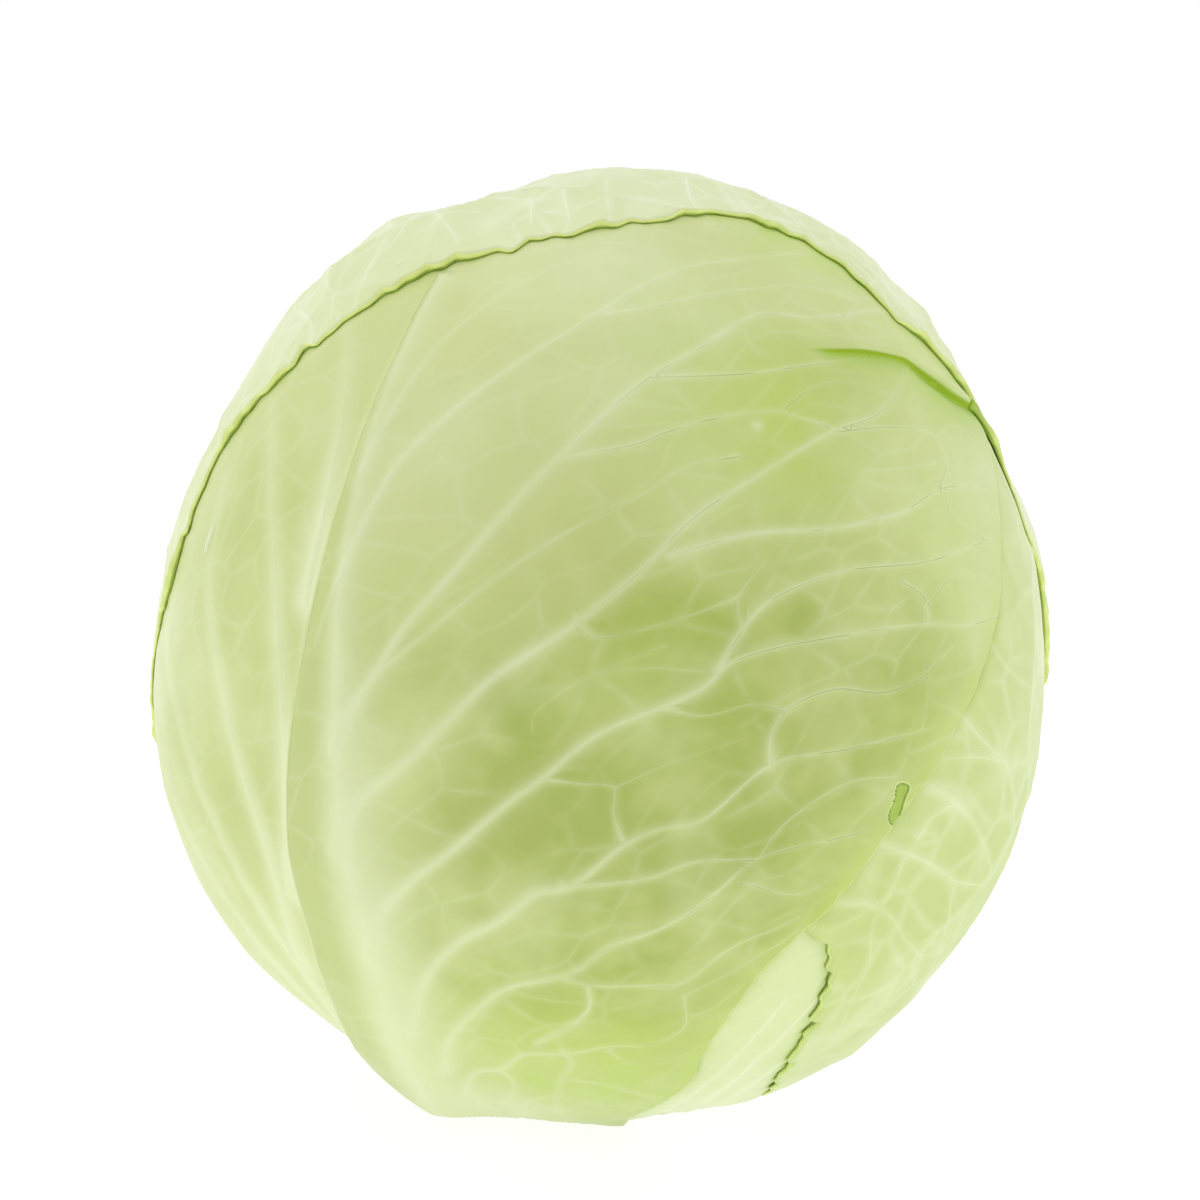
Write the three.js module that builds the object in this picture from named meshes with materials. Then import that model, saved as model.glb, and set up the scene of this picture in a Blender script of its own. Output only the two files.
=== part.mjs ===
// A white cabbage head, cut from its root and standing on the flat end of its stem.
// Millimetres, +Z up, origin on the table under the middle of the head, front towards -Y.
//
// The head is a short stem with a bud of folded young leaves on its end. Leaves wrap round
// both, each one a thin closed cup that is fixed low on the stem and laps over its neighbours.
// Places on the head are given as [longitude, latitude] in degrees: longitude 0 is the front,
// 90 the right (+X), latitude 90 the top and -90 the stem.
import * as THREE from 'three';

// Driving dimensions
const HEAD_WIDTH = 180;
const HEAD_HEIGHT = 188;
const EQUATOR_HEIGHT = 88; // the widest level, above the table
const LEAF_THICKNESS = 0.9;
const LEAF_GAP = 0.75; // between a leaf and the one under it
const LAP_PITCH = LEAF_THICKNESS + LEAF_GAP;
const LAPS = 2; // how many leaves deep the wrapping is
const STEM_RADIUS = 17;
const STEM_HEIGHT = 66;
const FOOT_LATITUDE = -77.4; // where the outer leaves end, just clear of the stem
const INNER_LEAF_COUNT = 7;
const INNER_LEAF_THICKNESS = 2.7; // a crinkled leaf takes up more than its own thickness
const INNER_LEAF_PITCH = 4;

const DEGREE = Math.PI / 180;
const CENTRE = new THREE.Vector3(0, 0, EQUATOR_HEIGHT);
const CORE_RADIUS = HEAD_WIDTH / 2 - LAP_PITCH * LAPS;
const CORE_RISE = HEAD_HEIGHT - EQUATOR_HEIGHT - LAP_PITCH * LAPS;
const CORE_DROP = EQUATOR_HEIGHT;
const CORE_CLEARANCE = 5.5; // the outer leaves fit between the core's flattened foot and the table

function smooth(from, to, value) {
  return THREE.MathUtils.smoothstep(value, from, to);
}

function towards([longitude, latitude]) {
  const lon = longitude * DEGREE;
  const lat = latitude * DEGREE;
  return new THREE.Vector3(
    Math.cos(lat) * Math.sin(lon), -Math.cos(lat) * Math.cos(lon), Math.sin(lat));
}

function latitudeOf(direction) {
  return Math.asin(direction.z) / DEGREE;
}

// How far from the middle of the head a level above the table is reached.
function radiusToLevel(direction, level) {
  if (direction.z > -0.5) return Infinity;
  return (EQUATOR_HEIGHT - level) / -direction.z;
}

// The ball that the outer leaves wrap: taller above its widest level, flattened underneath.
function coreRadius(direction) {
  const halfHeight = direction.z > 0 ? CORE_RISE : CORE_DROP;
  const across = Math.hypot(direction.x, direction.y) / CORE_RADIUS;
  const round = 1 / Math.hypot(across, direction.z / halfHeight);
  return Math.min(round, radiusToLevel(direction, CORE_CLEARANCE));
}

// A leaf's own coordinates: a bearing from north round its middle, and an angle out from there.
class LeafPatch {
  constructor(middle) {
    const lon = middle[0] * DEGREE;
    this.middle = towards(middle);
    this.east = new THREE.Vector3(Math.cos(lon), Math.sin(lon), 0);
    this.north = this.middle.clone().cross(this.east);
  }

  locate(direction) {
    const out = Math.acos(THREE.MathUtils.clamp(direction.dot(this.middle), -1, 1));
    const bearing = Math.atan2(direction.dot(this.east), direction.dot(this.north));
    return { bearing, out: out / DEGREE };
  }

  direction(bearing, out) {
    return this.middle.clone().multiplyScalar(Math.cos(out * DEGREE))
      .addScaledVector(this.north, Math.sin(out * DEGREE) * Math.cos(bearing))
      .addScaledVector(this.east, Math.sin(out * DEGREE) * Math.sin(bearing));
  }

  // The angle out at which this bearing comes down to a latitude, or Infinity if it never does.
  outTo(latitude, bearing) {
    const along = this.north.z * Math.cos(bearing);
    const cosine = Math.sin(latitude * DEGREE) / Math.hypot(this.middle.z, along);
    if (cosine < -1) return Infinity;
    return (Math.atan2(along, this.middle.z) + Math.acos(cosine)) / DEGREE;
  }
}

// A leaf's edge through the given places, as its angle out from the middle at any bearing.
function edgeThrough(patch, places) {
  const flat = places.map((place) => {
    const { bearing, out } = patch.locate(towards(place));
    return new THREE.Vector3(out * Math.sin(bearing), out * Math.cos(bearing), 0);
  });
  const line = new THREE.CatmullRomCurve3(flat, true, 'centripetal');
  const samples = line.getPoints(40 * places.length)
    .map((point) => ({ bearing: Math.atan2(point.x, point.y), out: point.length() }))
    .sort((a, b) => a.bearing - b.bearing);
  return (anyBearing) => {
    const bearing = Math.atan2(Math.sin(anyBearing), Math.cos(anyBearing));
    const after = samples.findIndex((sample) => sample.bearing >= bearing);
    const high = samples[after < 0 ? 0 : after];
    const low = samples[after <= 0 ? samples.length - 1 : after - 1];
    const turn = (value) => THREE.MathUtils.euclideanModulo(value, 2 * Math.PI);
    const gap = turn(high.bearing - low.bearing);
    const share = gap > 0 ? turn(bearing - low.bearing) / gap : 0;
    return THREE.MathUtils.lerp(low.out, high.out, share);
  };
}

// A square grid point as a place on a disc, so that cells stay about the same size.
function squareToDisc(u, v) {
  if (u === 0 && v === 0) return { share: 0, bearing: 0 };
  if (Math.abs(v) >= Math.abs(u)) {
    return { share: Math.abs(v), bearing: (v < 0 ? Math.PI : 0) + (u / v) * Math.PI / 4 };
  }
  return { share: Math.abs(u), bearing: Math.sign(u) * Math.PI / 2 - (v / u) * Math.PI / 4 };
}

// A closed shell over a square grid: the outer face, the inner face and the edge between them.
function shell(cells, point) {
  const side = cells + 1;
  const positions = [];
  const indices = [];
  for (const face of ['outer', 'inner']) {
    for (let row = 0; row < side; row++) {
      for (let column = 0; column < side; column++) {
        const u = 2 * column / cells - 1;
        const v = 2 * row / cells - 1;
        positions.push(...point(squareToDisc(u, v), face).toArray());
      }
    }
  }
  const at = (row, column, face) => row * side + column + (face === 'inner' ? side * side : 0);
  for (let row = 0; row < cells; row++) {
    for (let column = 0; column < cells; column++) {
      for (const face of ['outer', 'inner']) {
        const a = at(row, column, face);
        const b = at(row, column + 1, face);
        const c = at(row + 1, column + 1, face);
        const d = at(row + 1, column, face);
        if (face === 'outer') indices.push(a, b, c, a, c, d);
        else indices.push(a, c, b, a, d, c);
      }
    }
  }
  const rim = [];
  for (let k = 0; k < cells; k++) rim.push([0, k]);
  for (let k = 0; k < cells; k++) rim.push([k, cells]);
  for (let k = 0; k < cells; k++) rim.push([cells, cells - k]);
  for (let k = 0; k < cells; k++) rim.push([cells - k, 0]);
  rim.forEach((place, k) => {
    const next = rim[(k + 1) % rim.length];
    const [a, b] = [at(...place, 'outer'), at(...next, 'outer')];
    const [c, d] = [at(...next, 'inner'), at(...place, 'inner')];
    indices.push(a, d, c, a, c, b);
  });
  const geometry = new THREE.BufferGeometry();
  geometry.setAttribute('position', new THREE.Float32BufferAttribute(positions, 3));
  geometry.setIndex(indices);
  geometry.computeVertexNormals();
  return geometry;
}

const TUCKED_LIFT = 2.6; // how far a tucked-under leaf's foot stays off the table

// The outer leaves, from the innermost to the outermost. Each has its middle, its edge, the
// line of its thick rib from the stem to the tip, and how far its foot stays off the table.
const OUTER_LEAVES = [
  {
    name: 'leaf_back_right',
    cells: 10,
    middle: [143, -55],
    edge: [[114, -50], [128, -34], [150, -34], [166, -48], [170, -66], [168, FOOT_LATITUDE],
      [143, FOOT_LATITUDE], [118, FOOT_LATITUDE], [108, -64]],
    rib: [[142, -77], [143, -60], [143, -40]],
    ribRise: 3,
    footLift: TUCKED_LIFT,
    colour: 0xd9e4b4,
  },
  {
    name: 'leaf_back_left',
    cells: 14,
    middle: [-138, -50],
    edge: [[-98, -44], [-112, -26], [-140, -20], [-162, -34], [-172, -52], [-172, -68],
      [-168, FOOT_LATITUDE], [-130, FOOT_LATITUDE], [-100, FOOT_LATITUDE], [-92, -62]],
    rib: [[-132, -77], [-136, -60], [-138, -30]],
    ribRise: 3,
    footLift: TUCKED_LIFT,
    colour: 0xd9e4b4,
  },
  {
    name: 'leaf_pale_front',
    cells: 16,
    middle: [40, -44],
    edge: [[2, -40], [14, -20], [36, -8], [64, -16], [84, -40], [92, -60], [88, FOOT_LATITUDE],
      [45, FOOT_LATITUDE], [4, FOOT_LATITUDE], [-6, -60]],
    rib: [[50, -77], [54, -60], [58, -30]],
    ribRise: 2.5,
    footLift: TUCKED_LIFT,
    colour: 0xdfe8ba,
  },
  {
    name: 'leaf_right',
    cells: 24,
    middle: [92, -6],
    edge: [[27, -22], [14, -8], [20, 10], [36, 32], [54, 48], [80, 58], [112, 52], [136, 36],
      [148, 12], [148, -14], [142, -38], [134, -56], [127, -67], [124, FOOT_LATITUDE],
      [104, FOOT_LATITUDE], [86, FOOT_LATITUDE], [66, -68], [45, -57], [38, -47], [35, -37],
      [33, -28]],
    rib: [[106, -77], [104, -50], [100, -20], [97, 10], [95, 40]],
    ribRise: 4,
    footLift: 0,
    colour: 0xd2dea2,
  },
  {
    name: 'leaf_front',
    cells: 28,
    middle: [-35, -5],
    edge: [[13, -65], [18, -50], [18, -42], [23, -27], [31, -18], [38, -9], [46, -1], [56, 10],
      [65, 23], [77, 36], [80, 48], [76, 64], [50, 80], [0, 84], [-50, 78], [-80, 62], [-96, 42],
      [-104, 22], [-114, 0], [-126, -22], [-134, -42], [-128, -58], [-114, -69],
      [-100, FOOT_LATITUDE], [-40, FOOT_LATITUDE], [8, FOOT_LATITUDE]],
    rib: [[-70, -76], [-68, -67], [-58, -57], [-48, -45], [-41, -23], [-37, 3], [-35, 19],
      [-32, 48], [-35, 59]],
    ribRise: 6,
    footLift: 0,
    colour: 0xc8d294,
  },
  {
    name: 'leaf_crown',
    cells: 28,
    middle: [180, 20],
    edge: [[-73, 13], [-69, 30], [-57, 45], [-38, 59], [-14, 65], [17, 69], [51, 69], [64, 62],
      [66, 50], [74, 42], [77, 34], [79, 20], [84, 12], [92, -8], [104, -25], [120, -44],
      [136, -58], [150, -70], [160, FOOT_LATITUDE], [180, FOOT_LATITUDE], [-160, FOOT_LATITUDE],
      [-147, -70], [-134, -58], [-120, -48], [-104, -30], [-88, -8]],
    rib: [[180, -76], [179, -50], [177, -15], [180, 20], [-178, 55], [-160, 80], [-30, 76]],
    ribRise: 5,
    footLift: 0,
    colour: 0xdce4b8,
  },
];

const RIB_HALF_WIDTH = 13; // at the stem end
const RIB_TIP_SHARE = 0.25; // how much of that width is left at the tip
const LAP_GROWN = 5; // a leaf lifts the ones over it this many degrees beyond its edge,
const LAP_FADE = 18; // and no longer lifts them this many degrees beyond it

for (const leaf of OUTER_LEAVES) {
  leaf.patch = new LeafPatch(leaf.middle);
  leaf.edgeAngle = edgeThrough(leaf.patch, leaf.edge);
  leaf.ribLine = new THREE.CatmullRomCurve3(leaf.rib.map(towards)).getPoints(60);
}

// How fully a leaf lies under this place: 1 on the leaf, fading to 0 a little beyond its edge.
function cover(leaf, direction) {
  const { bearing, out } = leaf.patch.locate(direction);
  return 1 - smooth(LAP_GROWN, LAP_FADE, out - leaf.edgeAngle(bearing));
}

// The rib stands out from a leaf, highest at the stem end, and is pressed flat where it is lapped.
function ribHeight(index, direction) {
  const { ribLine, ribRise } = OUTER_LEAVES[index];
  let nearest = 0;
  let cosine = -1;
  ribLine.forEach((point, k) => {
    const dot = point.dot(direction) / point.length();
    if (dot > cosine) {
      cosine = dot;
      nearest = k;
    }
  });
  const along = nearest / (ribLine.length - 1);
  const aside = Math.acos(Math.min(cosine, 1)) * CORE_RADIUS;
  const halfWidth = RIB_HALF_WIDTH * THREE.MathUtils.lerp(1, RIB_TIP_SHARE, along);
  let height = ribRise * (1 - along) ** 1.5 * (1 - smooth(0, halfWidth, aside));
  for (const above of OUTER_LEAVES.slice(index + 1)) height *= 1 - cover(above, direction);
  return height;
}

// How far the leaves underneath hold this one off the core.
function lapHeight(index, direction) {
  return OUTER_LEAVES.slice(0, index)
    .reduce((height, under) => height + LAP_PITCH * cover(under, direction), 0);
}

const FOOT_FLARE = [-70, -76]; // between these latitudes a leaf flares out on to the table,
const TUCKED_FLARE_DROP = 1.2; // and a lifted one does so lower down, by this much a millimetre

function outerLeafPoint(index, { share, bearing }, face) {
  const leaf = OUTER_LEAVES[index];
  const edge = Math.min(leaf.edgeAngle(bearing), leaf.patch.outTo(FOOT_LATITUDE, bearing));
  const direction = leaf.patch.direction(bearing, share * edge);
  const skin = face === 'outer' ? LEAF_THICKNESS : 0;
  const level = leaf.footLift + LEAF_THICKNESS - skin;
  const wrapped = coreRadius(direction) + LEAF_GAP + lapHeight(index, direction) + skin;
  const footed = radiusToLevel(direction, level);
  const latitude = latitudeOf(direction) + TUCKED_FLARE_DROP * leaf.footLift;
  const flare = 1 - smooth(FOOT_FLARE[1], FOOT_FLARE[0], latitude);
  let radius = flare > 0 ? THREE.MathUtils.lerp(wrapped, footed, flare) : wrapped;
  if (face === 'outer') radius += ribHeight(index, direction);
  radius = Math.min(radius, footed);
  return direction.multiplyScalar(radius).add(CENTRE);
}

function material(colour, roughness) {
  return new THREE.MeshStandardMaterial({ color: colour, roughness, metalness: 0 });
}

function piece(name, geometry, finish) {
  const mesh = new THREE.Mesh(geometry, finish);
  mesh.name = name;
  return mesh;
}

function outerLeaf(index) {
  const { name, cells, colour } = OUTER_LEAVES[index];
  const geometry = shell(cells, (place, face) => outerLeafPoint(index, place, face));
  return piece(name, geometry, material(colour, 0.5));
}

// The inner leaves follow each other round the stem by the golden angle, as they grew.
const GOLDEN_ANGLE = 137.5;
const FIRST_INNER_LONGITUDE = 20;
const INNER_LEAF_TILT = 16; // latitude of each leaf's middle
const INNER_LEAF_REACH = 74; // angle from a leaf's middle to its edge,
const INNER_LEAF_FOOT = 16; // and how much further it goes down to the stem
const INNER_LEAF_CLEARANCE = 4; // between its foot and the stem
const INNER_LEAF_WAVE = 3; // degrees of waviness in that edge
const INNER_LEAF_CELLS = 12;
const OUTERMOST_INNER = CORE_RADIUS - 4.5;

function innerLeaf(order) {
  const patch = new LeafPatch([FIRST_INNER_LONGITUDE + GOLDEN_ANGLE * order, INNER_LEAF_TILT]);
  const reach = OUTERMOST_INNER - INNER_LEAF_PITCH * order;
  const innermost = reach - INNER_LEAF_THICKNESS;
  const footLatitude = -Math.acos((STEM_RADIUS + INNER_LEAF_CLEARANCE) / innermost) / DEGREE;
  const geometry = shell(INNER_LEAF_CELLS, ({ share, bearing }, face) => {
    const wave = INNER_LEAF_WAVE * Math.cos(5 * bearing + order);
    const foot = INNER_LEAF_FOOT * Math.max(0, -Math.cos(bearing)) ** 6;
    const edge = Math.min(INNER_LEAF_REACH + wave + foot, patch.outTo(footLatitude, bearing));
    const direction = patch.direction(bearing, share * edge);
    const skin = face === 'outer' ? 0 : INNER_LEAF_THICKNESS;
    const radius = coreRadius(direction) * (reach - skin) / CORE_RADIUS;
    return direction.multiplyScalar(radius).add(CENTRE);
  });
  return piece(`inner_leaf_${order + 1}`, geometry, material(0xe9edcf, 0.5));
}

// The stem: cut square at the table, widest where the leaves are fixed, narrowing into the bud.
function stem() {
  const profile = [
    [0, 0], [STEM_RADIUS - 1, 0], [STEM_RADIUS, 1.2], [STEM_RADIUS + 0.5, 8],
    [STEM_RADIUS, 28], [STEM_RADIUS - 3, 46], [STEM_RADIUS - 8, STEM_HEIGHT - 3],
    [STEM_RADIUS - 11, STEM_HEIGHT], [0, STEM_HEIGHT],
  ].map(([radius, height]) => new THREE.Vector2(radius, height));
  const geometry = new THREE.LatheGeometry(profile, 28).rotateX(Math.PI / 2);
  return piece('stem', geometry, material(0xeef0d8, 0.6));
}

// The bud: the youngest leaves, folded so tightly over one another that they make one lump.
const BUD_RADIUS = 48;
const BUD_BOTTOM = STEM_HEIGHT + 0.5;
const BUD_TOP = EQUATOR_HEIGHT + 55;
const BUD_FOLDS = 5;
const BUD_FOLD_DEPTH = 0.03;

function bud() {
  const geometry = new THREE.SphereGeometry(1, 30, 18);
  const points = geometry.attributes.position;
  const middle = (BUD_BOTTOM + BUD_TOP) / 2;
  for (let k = 0; k < points.count; k++) {
    const p = new THREE.Vector3().fromBufferAttribute(points, k);
    const turn = Math.atan2(p.z, p.x);
    const upright = Math.hypot(p.x, p.z);
    const fold = 1 - BUD_FOLD_DEPTH * upright * (1 + Math.cos(BUD_FOLDS * turn + 3 * p.y)) / 2;
    points.setXYZ(k, BUD_RADIUS * fold * p.x, -BUD_RADIUS * fold * p.z,
      middle + (BUD_TOP - BUD_BOTTOM) / 2 * p.y);
  }
  return piece('bud', geometry, material(0xf1f1d6, 0.55));
}

const cabbage = new THREE.Group();
cabbage.name = 'white_cabbage';
cabbage.add(stem(), bud());
for (let order = 0; order < INNER_LEAF_COUNT; order++) cabbage.add(innerLeaf(order));
OUTER_LEAVES.forEach((leaf, index) => cabbage.add(outerLeaf(index)));

export default cabbage;
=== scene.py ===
import math
from functools import partial

import bpy
import numpy as np
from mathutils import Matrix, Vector


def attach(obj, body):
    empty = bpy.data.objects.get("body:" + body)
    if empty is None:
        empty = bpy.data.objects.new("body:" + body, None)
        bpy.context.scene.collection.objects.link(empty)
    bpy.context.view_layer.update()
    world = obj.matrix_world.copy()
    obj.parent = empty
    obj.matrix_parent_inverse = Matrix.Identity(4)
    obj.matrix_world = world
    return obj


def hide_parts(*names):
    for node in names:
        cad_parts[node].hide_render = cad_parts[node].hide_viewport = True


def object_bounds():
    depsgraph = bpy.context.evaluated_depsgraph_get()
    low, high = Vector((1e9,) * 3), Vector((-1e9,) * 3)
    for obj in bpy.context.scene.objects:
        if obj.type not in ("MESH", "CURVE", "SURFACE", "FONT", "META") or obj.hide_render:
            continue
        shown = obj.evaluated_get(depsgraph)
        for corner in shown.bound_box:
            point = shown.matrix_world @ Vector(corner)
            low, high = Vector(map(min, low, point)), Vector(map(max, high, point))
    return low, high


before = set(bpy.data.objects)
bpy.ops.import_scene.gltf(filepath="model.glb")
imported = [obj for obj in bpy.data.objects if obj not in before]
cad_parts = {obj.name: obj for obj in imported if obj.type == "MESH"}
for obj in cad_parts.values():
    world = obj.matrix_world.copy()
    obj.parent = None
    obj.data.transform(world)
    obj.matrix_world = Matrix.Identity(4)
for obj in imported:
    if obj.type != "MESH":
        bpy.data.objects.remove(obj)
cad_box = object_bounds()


# ---------------------------------------------------------------------------
# The stem
#
# The stump that every leaf grows from, cut off square when the head was picked. The cut
# shows a pale, wet pith with a ring of tougher fibres round it, a little browned by the air.
# ---------------------------------------------------------------------------

def tint(code):
    """A colour from its six-figure code, as the light values that a shader works in."""
    shares = [int(code[k:k + 2], 16) / 255 for k in (0, 2, 4)]
    light = [s / 12.92 if s <= 0.04045 else ((s + 0.055) / 1.055) ** 2.4 for s in shares]
    return (*light, 1.0)


def add_node(tree, kind, inputs=None, **settings):
    """A node with its settings made and its inputs filled with values or with other nodes' sockets."""
    node = tree.nodes.new(kind)
    for name, value in settings.items():
        setattr(node, name, value)
    for key, value in (inputs or {}).items():
        if isinstance(value, bpy.types.NodeSocket):
            tree.links.new(value, node.inputs[key])
        else:
            node.inputs[key].default_value = value
    return node


def work_out(tree, operation, *values, clamp=False):
    """The result of one sum on numbers."""
    inputs = dict(enumerate(values))
    return add_node(tree, "ShaderNodeMath", inputs, operation=operation, use_clamp=clamp).outputs[0]


def product(tree, *values):
    """All of the numbers multiplied together."""
    result = values[0]
    for value in values[1:]:
        result = work_out(tree, "MULTIPLY", result, value)
    return result


def total(tree, *values, clamp=False):
    """All of the numbers added up, kept between 0 and 1 at each step if it is clamped."""
    result = values[0]
    for value in values[1:]:
        result = work_out(tree, "ADD", result, value, clamp=clamp)
    return result


def grade(tree, value, start, end, low=0.0, high=1.0):
    """A number that goes smoothly from low to high while value goes from start to end."""
    inputs = {"Value": value, "From Min": start, "From Max": end, "To Min": low, "To Max": high}
    ramp = add_node(tree, "ShaderNodeMapRange", inputs, interpolation_type="SMOOTHSTEP")
    return ramp.outputs["Result"]


def blend_colours(tree, share, first, second):
    """The first colour going over to the second as share goes from 0 to 1."""
    mix = add_node(tree, "ShaderNodeMix", {"Factor": share}, data_type="RGBA")
    for socket, value in zip((mix.inputs[6], mix.inputs[7]), (first, second)):
        if isinstance(value, bpy.types.NodeSocket):
            tree.links.new(value, socket)
        else:
            socket.default_value = value
    return mix.outputs[2]


def cloud(tree, where, size, detail, offset=0.0):
    """Soft, cloudy noise from 0 to 1, in puffs of about this size."""
    if offset:
        where = add_node(tree, "ShaderNodeVectorMath", {0: where, 1: (offset, offset, 0.0)}).outputs[0]
    scale = work_out(tree, "DIVIDE", 1.0, size)
    inputs = {"Vector": where, "Scale": scale, "Detail": detail, "Roughness": 0.55}
    return add_node(tree, "ShaderNodeTexNoise", inputs).outputs[0]


def start_material(name):
    """A material with its tree, its Principled shader and its Object coordinates."""
    material = bpy.data.materials.new(name)
    material.use_nodes = True
    tree = material.node_tree
    shader = tree.nodes["Principled BSDF"]
    where = tree.nodes.new("ShaderNodeTexCoord").outputs["Object"]
    return material, tree, shader, where


def start_group(name, numbers, colours=(), results=()):
    """An empty shader group with its named number and colour inputs and its named outputs."""
    group = bpy.data.node_groups.new(name, "ShaderNodeTree")
    add = group.interface.new_socket
    for label, value in numbers.items():
        add(label, in_out="INPUT", socket_type="NodeSocketFloat").default_value = value
    for label in colours:
        add(label, in_out="INPUT", socket_type="NodeSocketColor")
    for label, kind in results:
        add(label, in_out="OUTPUT", socket_type=f"NodeSocket{kind}")
    return group, group.nodes.new("NodeGroupInput"), group.nodes.new("NodeGroupOutput")


def finish_surface(tree, shader, colour, roughness, height, strength, depth):
    """Feeds a shader its colour and its roughness, and its fine relief as a bump of this depth."""
    inputs = {"Strength": strength, "Distance": depth, "Height": height}
    bump = add_node(tree, "ShaderNodeBump", inputs)
    tree.links.new(colour, shader.inputs["Base Color"])
    tree.links.new(roughness, shader.inputs["Roughness"])
    tree.links.new(bump.outputs["Normal"], shader.inputs["Normal"])


FLESH_RESULTS = (("Colour", "Color"), ("Roughness", "Float"), ("Height", "Float"))


def flesh_mottle_group():
    """Uneven colour and a fine, wet grain, as on any cut or folded part of a cabbage."""
    numbers = {"Blotch Size": 0.02, "Grain Size": 0.0006, "Grain Depth": 0.2}
    tree, into, out = start_group("flesh mottle", numbers, ("Light", "Deep"), FLESH_RESULTS)
    into = into.outputs
    where = tree.nodes.new("ShaderNodeTexCoord").outputs["Object"]
    blotch = grade(tree, cloud(tree, where, into["Blotch Size"], 3.0), 0.35, 0.68)
    grain = cloud(tree, where, into["Grain Size"], 2.0)
    colour = blend_colours(tree, blotch, into["Light"], into["Deep"])
    rough = grade(tree, grain, 0.2, 0.8, 0.38, 0.52)
    height = work_out(tree, "MULTIPLY", grain, into["Grain Depth"])
    for value, socket in zip((colour, rough, height), out.inputs):
        tree.links.new(value, socket)
    return tree


flesh_mottle = flesh_mottle_group()


FIBRE_RING = 0.0128  # how far the ring of fibres lies from the middle of the cut, in metres
FIBRE_WIDTH = 0.0011
BROWNED_FROM = 0.0145  # the flesh outside this is browned by the air, most of all at the skin
CUT_RADIUS = 0.0168


def stem_material():
    """Pale pith, a ring of woody fibres, and a browned rim."""
    material, tree, shader, where = start_material("cut stem")
    inputs = {"Light": tint("eef0da"), "Deep": tint("dfe5bd"), "Blotch Size": 0.009,
              "Grain Size": 0.0007, "Grain Depth": 0.25}
    mottle = add_node(tree, "ShaderNodeGroup", inputs, node_tree=flesh_mottle).outputs
    across = add_node(tree, "ShaderNodeVectorMath", {0: where, 1: (1.0, 1.0, 0.0)}, operation="MULTIPLY")
    radius = add_node(tree, "ShaderNodeVectorMath", {0: across.outputs[0]}, operation="LENGTH")
    radius = radius.outputs["Value"]
    from_ring = work_out(tree, "ABSOLUTE", work_out(tree, "SUBTRACT", radius, FIBRE_RING))
    spots = add_node(tree, "ShaderNodeTexVoronoi", {"Vector": where, "Scale": 900.0}).outputs["Distance"]
    woody = product(tree, grade(tree, from_ring, FIBRE_WIDTH, 0.0), grade(tree, spots, 0.5, 0.15))
    colour = blend_colours(tree, woody, mottle["Colour"], tint("b9bd86"))
    browned = grade(tree, radius, BROWNED_FROM, CUT_RADIUS, 0.0, 0.55)
    colour = blend_colours(tree, browned, colour, tint("c3b489"))
    height = total(tree, mottle["Height"], product(tree, woody, 0.3))
    finish_surface(tree, shader, colour, mottle["Roughness"], height, strength=0.6, depth=0.0008)
    return material


def finish_node(name, material):
    """Gives a construction node its material, in each of its slots."""
    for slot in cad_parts[name].material_slots:
        slot.material = material


finish_node("stem", stem_material())


# ---------------------------------------------------------------------------
# The bud and the inner leaves
#
# The bud is the knot of youngest leaves on the end of the stem. Seven inner leaves are packed
# round it. They never saw the light, so they are almost white, crisp and wet.
# ---------------------------------------------------------------------------

def heart_material(name, light, deep, blotch_size):
    """Crisp white flesh with a faint net of veins."""
    material, tree, shader, where = start_material(name)
    inputs = {"Light": tint(light), "Deep": tint(deep), "Blotch Size": blotch_size,
              "Grain Size": 0.0012, "Grain Depth": 0.3}
    mottle = add_node(tree, "ShaderNodeGroup", inputs, node_tree=flesh_mottle).outputs
    net = add_node(tree, "ShaderNodeTexVoronoi", {"Vector": where, "Scale": 85.0},
                   feature="DISTANCE_TO_EDGE").outputs["Distance"]
    vein = grade(tree, net, 0.09, 0.0, 0.0, 0.6)
    colour = blend_colours(tree, vein, mottle["Colour"], tint("f6f7e6"))
    height = total(tree, mottle["Height"], vein)
    finish_surface(tree, shader, colour, mottle["Roughness"], height, strength=0.5, depth=0.001)
    return material


inner_leaf_flesh = heart_material("inner leaf", "eef1d6", "dfe7b8", 0.024)
for name in sorted(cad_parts):
    if name.startswith("inner_leaf_"):
        finish_node(name, inner_leaf_flesh)
finish_node("bud", heart_material("bud", "f3f3da", "e9ecbf", 0.012))


# ---------------------------------------------------------------------------
# The outer leaves, and how they wrap
#
# Six large leaves wrap the head. Each is one thin, waxy sheet fixed low on the stem, stiffened
# by a thick rib and by veins that stand out on its outer side, and it laps over its neighbours.
# ---------------------------------------------------------------------------

# Places on the head are [longitude, latitude] in degrees: longitude 0 is the front, 90 the
# right, latitude 90 the top and -90 the stem. The shapes are worked out in millimetres.
MM = 0.001
HEAD_RADIUS = (cad_box[1].x - cad_box[0].x) / 2 / MM
HEAD_TOP = cad_box[1].z / MM
EQUATOR_HEIGHT = 88.0
CENTRE = np.array([0.0, 0.0, EQUATOR_HEIGHT])
LEAF_THICKNESS = 0.45
LEAF_GAP = 0.06
LAP_PITCH = LEAF_THICKNESS + LEAF_GAP
CORE_RADIUS = HEAD_RADIUS - 2 * LAP_PITCH
CORE_RISE = HEAD_TOP - EQUATOR_HEIGHT - 2 * LAP_PITCH
CORE_CLEARANCE = 4.5  # the head is flattened underneath, this far above the table
FOOT = -77.4  # the latitude where the leaves end, just clear of the stem
FOOT_FLARE = (-70, -76)  # between these latitudes a leaf flares out on to the table
DEGREE_LENGTH = math.radians(1) * HEAD_RADIUS


def towards(places):
    """Unit vectors from the middle of the head towards places on it."""
    lon, lat = np.radians(np.atleast_2d(np.asarray(places, float))[:, :2]).T
    return np.stack([np.cos(lat) * np.sin(lon), -np.cos(lat) * np.cos(lon), np.sin(lat)], axis=-1)


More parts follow.
